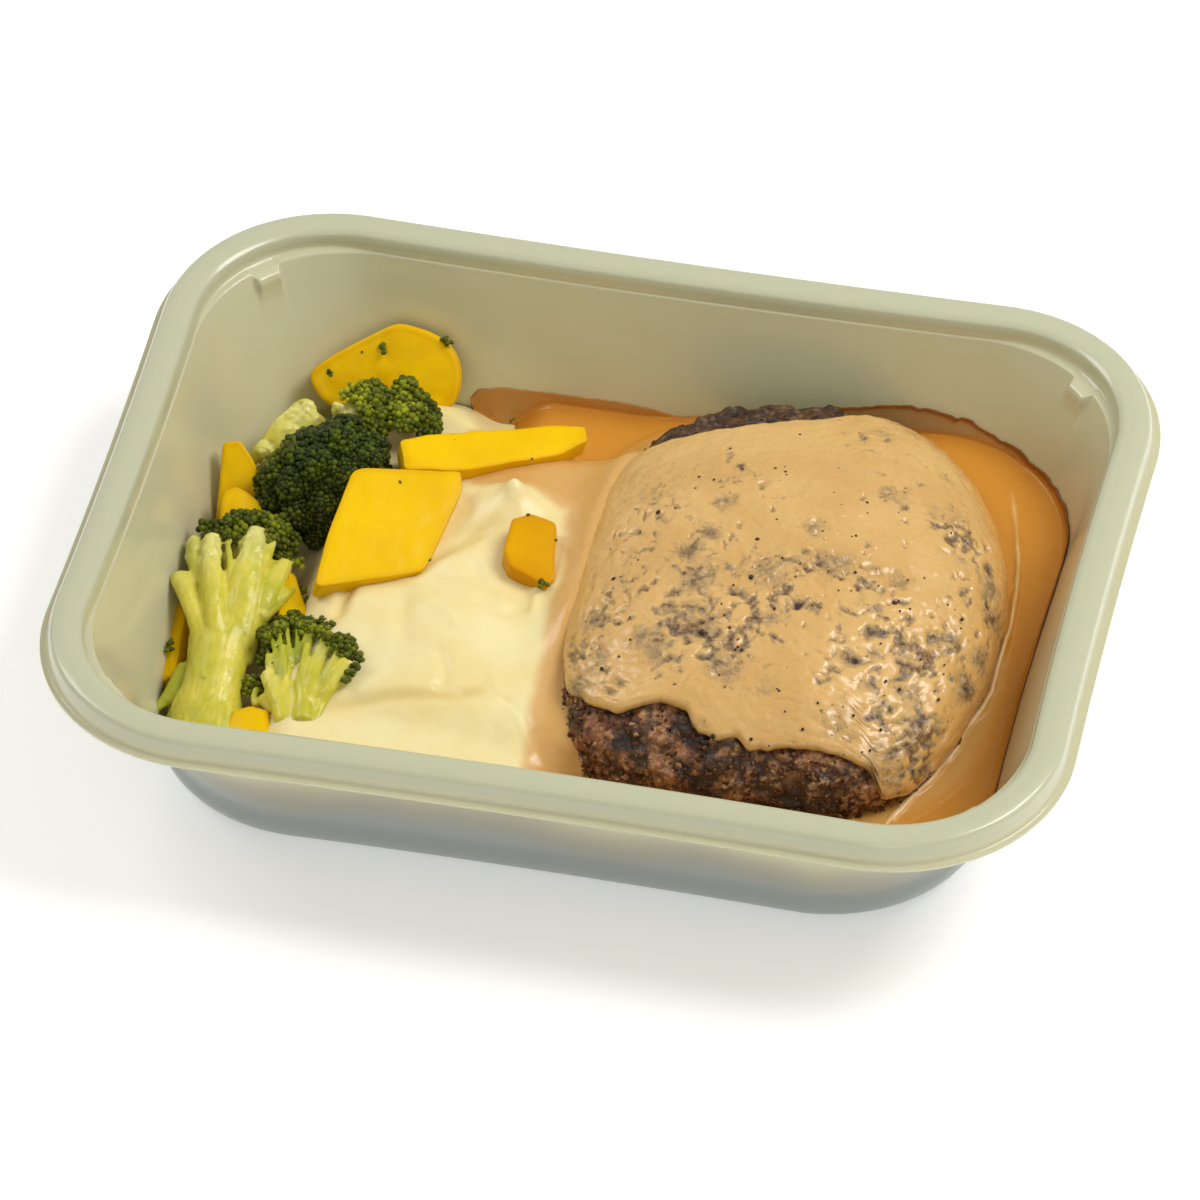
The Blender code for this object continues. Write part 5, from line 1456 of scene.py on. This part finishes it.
def build_crown(settings, flesh, buds):
    """The large dark head: lumps over a dome, each covered in buds, with the flesh of the lumps below them."""
    chooser = np.random.default_rng(settings.seed + 1)
    clusters = [(CROWN_CENTRE - CROWN_HOLLOW * 3.5, CROWN_RADIUS * 0.70)]
    for number, way in enumerate(spiral_directions(30, CROWN_AXIS, math.radians(108))):
        size = 4.3 + 0.8 * math.sin(2.3 * number)
        sunk = 0.30 * float(rise(way @ CROWN_HOLLOW, 0.30, 0.5))
        clusters.append((CROWN_CENTRE + way * (CROWN_RADIUS * (1 - sunk) - size * 0.93), size))
    axis = unit(np.asarray(CROWN_AXIS))
    limits = [above_carrot("carrot_diamond", 0.5), above_carrot("carrot_strip", 0.5)]
    bud = settings.bud_size / MM / 2
    grown = [(centre, radius - bud * 0.45) for centre, radius in clusters[1:]]
    spots, ways = bud_cover(grown, bud, chooser,
                            lambda spots, out: (spots - CROWN_CENTRE) @ axis > -CROWN_RADIUS * 0.45, limits)
    sunk = 0.5 * soft_noise(spots, 2.6, seed=55) + chooser.uniform(-0.3, 0.3, len(spots))
    spots = spots + ways * sunk[:, None]
    sizes = bud * chooser.uniform(0.72, 1.2, len(spots))
    points, faces, values = scattered(bead_shape(8, 4, 1.0), spots, ways, sizes, chooser, 0.15)
    left = rise(spots[:, 0], -74, -9) * rise(spots[:, 1], 16, 10)
    pale = np.clip(left * chooser.uniform(0.0, 0.7, len(spots)), 0, 1)
    values["pale"] = np.repeat(pale, len(points) // len(spots))
    values["tone"] = values["tone"] ** 2.2
    add_piece("crown_buds", (points, faces, values), buds, "broccoli_crown")
    bodies = []
    for number, (centre, radius) in enumerate(clusters):
        grid = lumpy_ball(centre, radius - bud * 1.1, number)
        for limit in limits:
            grid = np.where(limit(grid.reshape(-1, 3)).reshape(grid.shape[:2] + (1,)), grid,
                            CROWN_CENTRE + (grid - CROWN_CENTRE) * 0.8)
        bodies.append(capped_grid(grid, {"green": np.ones(grid.shape[:2]), "cut": np.zeros(grid.shape[:2])}))
    add_piece("crown_flesh", joined(bodies), flesh, "broccoli_crown")


def stem_lines(stems):
    """For each stem its smooth centre line, its radii in millimetres along it, and its finish values."""
    lines = []
    for shape in stems:
        run = np.asarray(shape["run"], float)
        path = smooth_line(photo_path(run), 26)
        radii = smooth_line(run[:, 2:3] / PIXELS_PER_MM, 26)[:, 0]
        lines.append((path, radii, shape.get("cut", 0.0), shape.get("green", 0.0), shape.get("flat", 1.0)))
    return lines


def tube(path, radii, flat, sides=20):
    """Circles of changing radius carried along a path, flattened across the view, closed at both ends."""
    tangent = unit(np.gradient(path, axis=0))
    side = unit(np.cross(tangent, (0.16, -0.70, 0.69)))
    over = np.cross(side, tangent)
    turn = np.linspace(0, 2 * np.pi, sides, endpoint=False)
    ring = side[:, None] * np.cos(turn)[None, :, None] + flat * over[:, None] * np.sin(turn)[None, :, None]
    grid = path[:, None] + ring * radii[:, None, None]
    first = path[0] - tangent[0] * radii[0] * 0.25 + ring[:1] * radii[0] * 0.5
    last = path[-1] + tangent[-1] * radii[-1] * 0.12 + ring[-1:] * radii[-1] * 0.8
    return capped_grid(np.concatenate([first, grid, last]), {})


def read_back(items, label, width, kind):
    """One named value of all items of a mesh, as an array."""
    numbers = np.empty(len(items) * width, kind)
    items.foreach_get(label, numbers)
    return numbers


def fused_mesh(bodies, grain):
    """The outer surface of overlapping bodies: a voxel remesh of grain millimetres, read back as arrays."""
    points, faces, _ = joined(bodies)
    lump = in_scene("overlapping", fill_mesh("overlapping", points, faces))
    remesh = lump.modifiers.new("fuse", "REMESH")
    remesh.mode = "VOXEL"
    remesh.voxel_size = grain * MM
    whole = lump.evaluated_get(bpy.context.evaluated_depsgraph_get()).to_mesh()
    fused = read_back(whole.vertices, "co", 3, float)
    corners = read_back(whole.loops, "vertex_index", 1, np.int32)
    sizes = read_back(whole.polygons, "loop_total", 1, np.int32)
    starts = np.concatenate([[0], np.cumsum(sizes)[:-1]])
    groups = [corners[starts[sizes == k][:, None] + np.arange(k)[None]] for k in (3, 4) if (sizes == k).any()]
    bpy.data.objects.remove(lump)
    return fused.reshape(-1, 3) / MM, groups


def relaxed(points, faces, times, share=0.5):
    """Points moved towards the mean of their neighbours, several times over."""
    ends = np.concatenate([np.stack([face[:, k], face[:, (k + 1) % face.shape[1]]], axis=-1)
                           for face in faces for k in range(face.shape[1])])
    ends = np.unique(np.sort(ends, axis=1), axis=0)
    count = np.bincount(ends.ravel(), minlength=len(points))[:, None]
    for _ in range(times):
        total = np.stack([np.bincount(ends[:, 0], other, len(points)) + np.bincount(ends[:, 1], one, len(points))
                          for one, other in zip(points[ends[:, 0]].T, points[ends[:, 1]].T)], axis=-1)
        points = points + (total / np.maximum(count, 1) - points) * share
    return points


def point_normals(points, faces):
    """Unit normals at points: the sum of the crossed diagonals of the faces round them."""
    total = np.zeros_like(points)
    for face in faces:
        a, b, c, d = (points[face[:, k]] for k in (0, 1, 2, -1))
        normal = np.cross(c - a, d - b) if face.shape[1] == 4 else np.cross(b - a, c - a)
        for k in range(face.shape[1]):
            for axis in range(3):
                total[:, axis] += np.bincount(face[:, k], normal[:, axis], len(points))
    return unit(total)


def stem_values(points, lines):
    """For each point its stem's finish values and a fibre pattern that runs along that stem."""
    best = np.full(len(points), 1e9)
    cut, green, fibre = np.zeros((3, len(points)))
    for number, (path, radii, stem_cut, stem_green, _) in enumerate(lines):
        gaps = np.linalg.norm(points[:, None] - path[None], axis=2) / radii[None]
        place = gaps.argmin(axis=1)
        gap = gaps[np.arange(len(points)), place]
        tangent = unit(np.gradient(path, axis=0)[place])
        off = points - path[place]
        run = np.einsum("ij,ij->i", points, tangent)
        squeezed = off - np.einsum("ij,ij->i", off, tangent)[:, None] * tangent
        pattern = layered_noise(squeezed + tangent * (run * 0.16)[:, None] + number * 7.0, 1.3, 3, seed=101)
        closer = gap < best
        best = np.where(closer, gap, best)
        cut = np.where(closer, stem_cut * rise(place / (len(path) - 1), 0.35, 0.5), cut)
        green = np.where(closer, stem_green, green)
        fibre = np.where(closer, pattern, fibre)
    return cut, green, fibre


def fused_stems(stems, grain=0.4, torn=0.55):
    """Stems as one surface that blends where they fork, with fibres along each and a crumbled face where it is cut."""
    lines = stem_lines(stems)
    points, faces = fused_mesh([tube(path, radii, flat) for path, radii, _, _, flat in lines], grain)
    points = relaxed(points, faces, 3)
    faces = turned_outwards(points, faces)
    cut, green, fibre = stem_values(points, lines)
    crumble = layered_noise(points, 1.9, 3, seed=111) - 0.25
    lumps = layered_noise(points, 3.8, 2, seed=113)
    small = layered_noise(points, 1.0, 2, seed=115)
    lift = 0.2 * fibre + torn * cut * crumble + (0.2 + 0.4 * cut) * lumps + 0.28 * cut * small
    points = points + point_normals(points, faces) * lift[:, None]
    green = np.clip(green + 0.10 * (fibre < -0.25) + 0.25 * smooth_step(lumps * 2), 0, 1)
    return points, faces, {"cut": np.clip(cut * (0.75 + 0.5 * crumble), 0, 1), "green": green}


def bud_clumps(heads, bud, chooser, lean):
    """Buds over small balls placed by photograph pixel, and those balls."""
    clusters = [(photo_path([(x, y, height)])[0], radius / PIXELS_PER_MM) for x, y, radius, height, _ in heads]
    spots, ways = bud_cover(clusters, bud, chooser, lambda spots, out: out @ lean > -0.45)
    spots = spots + ways * chooser.uniform(-0.35, 0.45, len(spots))[:, None]
    sizes = bud * chooser.uniform(0.7, 1.25, len(spots))
    points, faces, values = scattered(bead_shape(8, 4, 1.0), spots, ways, sizes, chooser, 0.15)
    nearest = np.argmin(np.linalg.norm(spots[:, None] - np.array([c for c, _ in clusters])[None], axis=2), axis=1)
    pale = np.array([head[-1] for head in heads])[nearest] * chooser.uniform(0.2, 1.6, len(spots))
    values["pale"] = np.repeat(np.clip(pale, 0, 1), len(points) // len(spots))
    values["tone"] = values["tone"] ** 1.6
    return (points, faces, values), clusters


def add_floret(name, node, stems, heads, bud, seed, flesh, buds):
    """A floret: fused stems, clumps of buds and the flesh inside the clumps."""
    body, clusters = bud_clumps(heads, bud, np.random.default_rng(seed), np.array((0.1, 0.1, 0.98)))
    add_piece(name + "_buds", body, buds, node)
    add_piece(name + "_stems", fused_stems(stems), flesh, node)
    balls = [capped_grid(lumpy_ball(spot, max(size - bud * 0.5, 0.4), number, 8),
                         {"green": np.full((8, 16), 0.95), "cut": np.zeros((8, 16))})
             for number, (spot, size) in enumerate(clusters)]
    add_piece(name + "_heads", joined(balls), flesh, node)


def front_fan(settings):
    """The front floret's stems and heads: those read off the photograph, and a fan of thin stems that runs from the
    fork to a rim of dark buds."""
    chooser = np.random.default_rng(settings.seed + 4)
    stems, heads = list(FRONT_STEMS), list(FRONT_HEADS)
    fork = np.array((294.0, 712.0))
    for layer, (height, inward) in enumerate(((18.0, 0.0), (20.5, 0.07), (15.0, 0.02))):
        for number, tip in enumerate(FRONT_RIM):
            tip = np.array(tip, float) + chooser.normal(0, 0.9, 2) + (fork - tip) * inward
            middle = fork + (tip - fork) * 0.6 + chooser.normal(0, 1.6, 2)
            lift = height + 2.5 * float(rise(tip[0], 305, 30))
            start = fork + (tip - fork) * 0.22
            if (number + layer) % 2 == 0:
                stems.append(dict(run=((*start, 4.2, 15.5 + layer * 0.5), (*middle, 2.8, (16.5 + lift) / 2),
                                       (*tip, 2.6, lift - 0.5)), green=0.55 + 0.45 * chooser.random()))
            heads.append((*tip, chooser.uniform(4.0, 6.5), lift - 0.8, 0.12 + 0.25 * (layer == 1)))
    return stems, heads


def build_green_bits(settings, buds):
    """Loose buds and flakes of broccoli that lie on the carrots and the mash: small clumps of beads."""
    chooser = np.random.default_rng(settings.seed + 12)
    for node, bits in GREEN_BITS.items():
        spots, sizes = [], []
        for x, y, height, width in bits:
            centre = carrot_top(node, (x, y)) if height is None else photo_at_height([(x, y)], height)[0]
            count, spread, part = (1, 0.0, 2.0) if width < 1.0 else (7, width * 0.32, 3.6)
            for _ in range(count):
                spots.append(centre + chooser.normal(0, 1, 3) * (spread, spread, spread * 0.5) * 0.8)
                sizes.append(width / part)
        spots = np.array(spots)
        ways = unit(np.tile((0.0, 0.0, 1.0), (len(spots), 1)) + chooser.normal(0, 0.3, spots.shape))
        points, faces, values = scattered(bead_shape(8, 5, 0.8), spots, ways, np.array(sizes), chooser, 0.3)
        values["pale"] = np.full(len(points), 0.12)
        add_piece(node + "_green_bits", (points, faces, values), buds, node)


# Stage

def build_camera():
    place, right, up, back = camera_axes()
    camera = in_scene("camera", bpy.data.cameras.new("camera"))
    camera.data.sensor_width = SENSOR
    camera.data.lens = FOCAL_PIXELS * SENSOR / PHOTO_SIZE
    camera.data.clip_start = 0.1
    camera.data.clip_end = 20
    turn = Matrix(np.array((right, up, back)).T.tolist()).to_4x4()
    camera.matrix_world = Matrix.Translation(place * MM) @ turn
    bpy.context.scene.camera = camera


def build_light(name, place, target, size, power, colour):
    """A rectangular soft light that looks at a target. Places are in metres."""
    data = bpy.data.lights.new(name, "AREA")
    data.shape = "RECTANGLE"
    data.size, data.size_y = size
    data.energy = power
    data.color = colour
    rows = turn_to(unit(np.array(place) - np.array(target)))
    in_scene(name, data).matrix_world = Matrix.Translation(place) @ Matrix(rows.T.tolist()).to_4x4()


def build_floor(settings):
    points = np.array([(-1, -1, 0), (1, -1, 0), (1, 1, 0), (-1, 1, 0)]) * FLOOR_REACH
    floor = in_scene("floor", fill_mesh("floor", points, [np.array([(0, 1, 2, 3)])]))
    floor.data.materials.append(glowing_floor_finish(settings))


def build_world(settings):
    world = bpy.data.worlds.new("soft studio")
    bpy.context.scene.world = world
    world.use_nodes = True
    sky = world.node_tree.nodes["Background"]
    sky.inputs["Color"].default_value = (*settings.sky, 1.0)
    sky.inputs["Strength"].default_value = settings.sky_strength
    bpy.context.scene.view_settings.view_transform = "Standard"


# Settings

def colour_setting(name, description, default):
    return bpy.props.FloatVectorProperty(name=name, description=description, default=default, subtype="COLOR",
                                         size=3, min=0.0, max=1.0)


class MealTraySettings(bpy.types.PropertyGroup):
    """Sizes and colours of the tray and the stage."""
    sheet: bpy.props.FloatProperty(name="Sheet", description="Thickness of the tray's plastic", default=0.0008,
                                   unit="LENGTH")
    plastic: colour_setting("Plastic", "Colour of the tray", linear(202, 198, 165))
    floor: colour_setting("Floor", "Colour of the floor", linear(250, 250, 249))
    sky: colour_setting("Sky", "Colour of the surrounding light", (1.0, 0.99, 0.97))
    sky_strength: bpy.props.FloatProperty(name="Sky strength", description="Strength of the surrounding light",
                                          default=0.41)
    key_power: bpy.props.FloatProperty(name="Key light", description="Power of the main soft light in watts",
                                       default=14.8)


class MealFoodSettings(bpy.types.PropertyGroup):
    """Sizes and colours of the food."""
    coat_depth: bpy.props.FloatProperty(name="Sauce coat", description="Depth of the sauce on the steak",
                                        default=0.0014, unit="LENGTH")
    bud_size: bpy.props.FloatProperty(name="Bud", description="Width of one broccoli bud", default=0.0015,
                                      unit="LENGTH")
    flakes: bpy.props.IntProperty(name="Flakes", description="Pepper flakes tried on the sauce", default=230)
    seed: bpy.props.IntProperty(name="Seed", description="Start of the random numbers", default=4)
    crust: colour_setting("Crust", "Colour of the browned meat", linear(76, 42, 20))
    cream: colour_setting("Cream sauce", "Colour of the sauce on the steak", linear(220, 178, 110))
    pool: colour_setting("Loose sauce", "Colour of the sauce round the steak", linear(208, 142, 48))
    mash: colour_setting("Mash", "Colour of the potato", linear(242, 228, 172))
    carrot: colour_setting("Carrot", "Colour of the carrots", linear(242, 198, 0))
    bud: colour_setting("Buds", "Colour of the broccoli buds", linear(38, 46, 4))
    stalk: colour_setting("Stalk", "Colour of the broccoli stalks", linear(222, 208, 70))


# Operators

class MEALTRAY_OT_tray(bpy.types.Operator):
    """Build the plastic tray"""
    bl_idname = "mealtray.tray"
    bl_label = "Tray"

    def execute(self, context):
        settings = context.scene.meal_tray
        build_tray_shell(settings, tray_finish(settings))
        return {"FINISHED"}


class MEALTRAY_OT_soft_food(bpy.types.Operator):
    """Build the mashed potato and the loose sauce"""
    bl_idname = "mealtray.soft_food"
    bl_label = "Mash and sauce"

    def execute(self, context):
        settings = context.scene.meal_food
        build_mash(mash_finish(settings))
        sauce = pool_finish(settings)
        build_pool(sauce)
        build_wall_film(sauce)
        return {"FINISHED"}


class MEALTRAY_OT_steak(bpy.types.Operator):
    """Build the hamburger steak, its cream sauce and the pepper on it"""
    bl_idname = "mealtray.steak"
    bl_label = "Steak"

    def execute(self, context):
        settings = context.scene.meal_food
        build_steak_body(crust_finish(settings))
        build_coat_skin(settings, coat_finish(settings))
        build_crumbs(settings, crumb_finish(settings))
        build_pepper(settings, speck_finish())
        return {"FINISHED"}


class MEALTRAY_OT_carrots(bpy.types.Operator):
    """Build all carrot slices"""
    bl_idname = "mealtray.carrots"
    bl_label = "Carrots"

    def execute(self, context):
        settings = context.scene.meal_food
        yellow = carrot_finish(settings, "yellow_carrot", linear(214, 160, 0), 0.4)
        orange = carrot_finish(settings, "orange_carrot", linear(204, 136, 2), 0.5, 0.55)
        for name in CARROTS:
            build_carrot_slice(name, orange if name == "carrot_chip" else yellow)
        return {"FINISHED"}


class MEALTRAY_OT_broccoli(bpy.types.Operator):
    """Build the broccoli crown, small heads, offcut and florets"""
    bl_idname = "mealtray.broccoli"
    bl_label = "Broccoli"

    def execute(self, context):
        settings = context.scene.meal_food
        flesh, buds = stalk_finish(settings), bud_finish(settings)
        build_crown(settings, flesh, buds)
        bud = settings.bud_size / MM / 2
        build_green_bits(settings, buds)
        add_floret("back_left_head", "broccoli_back_left", BACK_LEFT_STEMS, BACK_LEFT_HEADS, bud, 21, flesh, buds)
        add_floret("back_right_head", "broccoli_back_right", BACK_RIGHT_STEMS, BACK_RIGHT_HEADS, bud, 22, flesh, buds)
        add_piece("offcut_flesh", fused_stems(OFFCUT_STEMS, 0.45, torn=1.0), flesh, "broccoli_offcut")
        add_floret("long_floret", "broccoli_long", LONG_STEMS, LONG_HEADS, bud, settings.seed + 3, flesh, buds)
        add_floret("front_floret", "broccoli_front", *front_fan(settings), bud * 0.9, settings.seed + 5, flesh, buds)
        return {"FINISHED"}


class MEALTRAY_OT_stage(bpy.types.Operator):
    """Build the camera, the lights, the floor and the surroundings"""
    bl_idname = "mealtray.stage"
    bl_label = "Stage"

    def execute(self, context):
        settings = context.scene.meal_tray
        build_camera()
        middle = (0.0, 0.0, 0.03)
        power = settings.key_power
        build_light("key", (0.80, 0.30, 1.25), middle, (0.8, 0.7), power, (1.0, 0.99, 0.97))
        build_light("fill", (-1.05, 0.30, 1.05), middle, (0.6, 0.7), power * 0.35, (1.0, 0.99, 0.98))
        build_light("front", (0.3, -1.5, 0.9), middle, (1.2, 0.6), power * 0.25, (0.98, 0.99, 1.0))
        build_floor(settings)
        build_world(settings)
        return {"FINISHED"}


class MEALTRAY_PT_panel(bpy.types.Panel):
    """Lists the settings and the steps"""
    bl_idname = "MEALTRAY_PT_panel"
    bl_label = "Meal tray"
    bl_space_type = "VIEW_3D"
    bl_region_type = "UI"
    bl_category = "Meal tray"

    def draw(self, context):
        layout = self.layout
        for group in (context.scene.meal_tray, context.scene.meal_food):
            for label in group.bl_rna.properties.keys():
                if label not in ("rna_type", "name"):
                    layout.prop(group, label)
        for step in STEPS:
            layout.operator(step.bl_idname)


STEPS = (MEALTRAY_OT_tray, MEALTRAY_OT_soft_food, MEALTRAY_OT_steak, MEALTRAY_OT_carrots, MEALTRAY_OT_broccoli,
         MEALTRAY_OT_stage)
CLASSES = (MealTraySettings, MealFoodSettings, *STEPS, MEALTRAY_PT_panel)


def register():
    for item in CLASSES:
        bpy.utils.register_class(item)
    bpy.types.Scene.meal_tray = bpy.props.PointerProperty(type=MealTraySettings)
    bpy.types.Scene.meal_food = bpy.props.PointerProperty(type=MealFoodSettings)


def unregister():
    del bpy.types.Scene.meal_food
    del bpy.types.Scene.meal_tray
    for item in reversed(CLASSES):
        bpy.utils.unregister_class(item)


def main():
    register()
    bpy.ops.mealtray.tray()
    bpy.ops.mealtray.soft_food()
    bpy.ops.mealtray.steak()
    bpy.ops.mealtray.carrots()
    bpy.ops.mealtray.broccoli()
    bpy.ops.mealtray.stage()


if __name__ == "__main__":
    main()
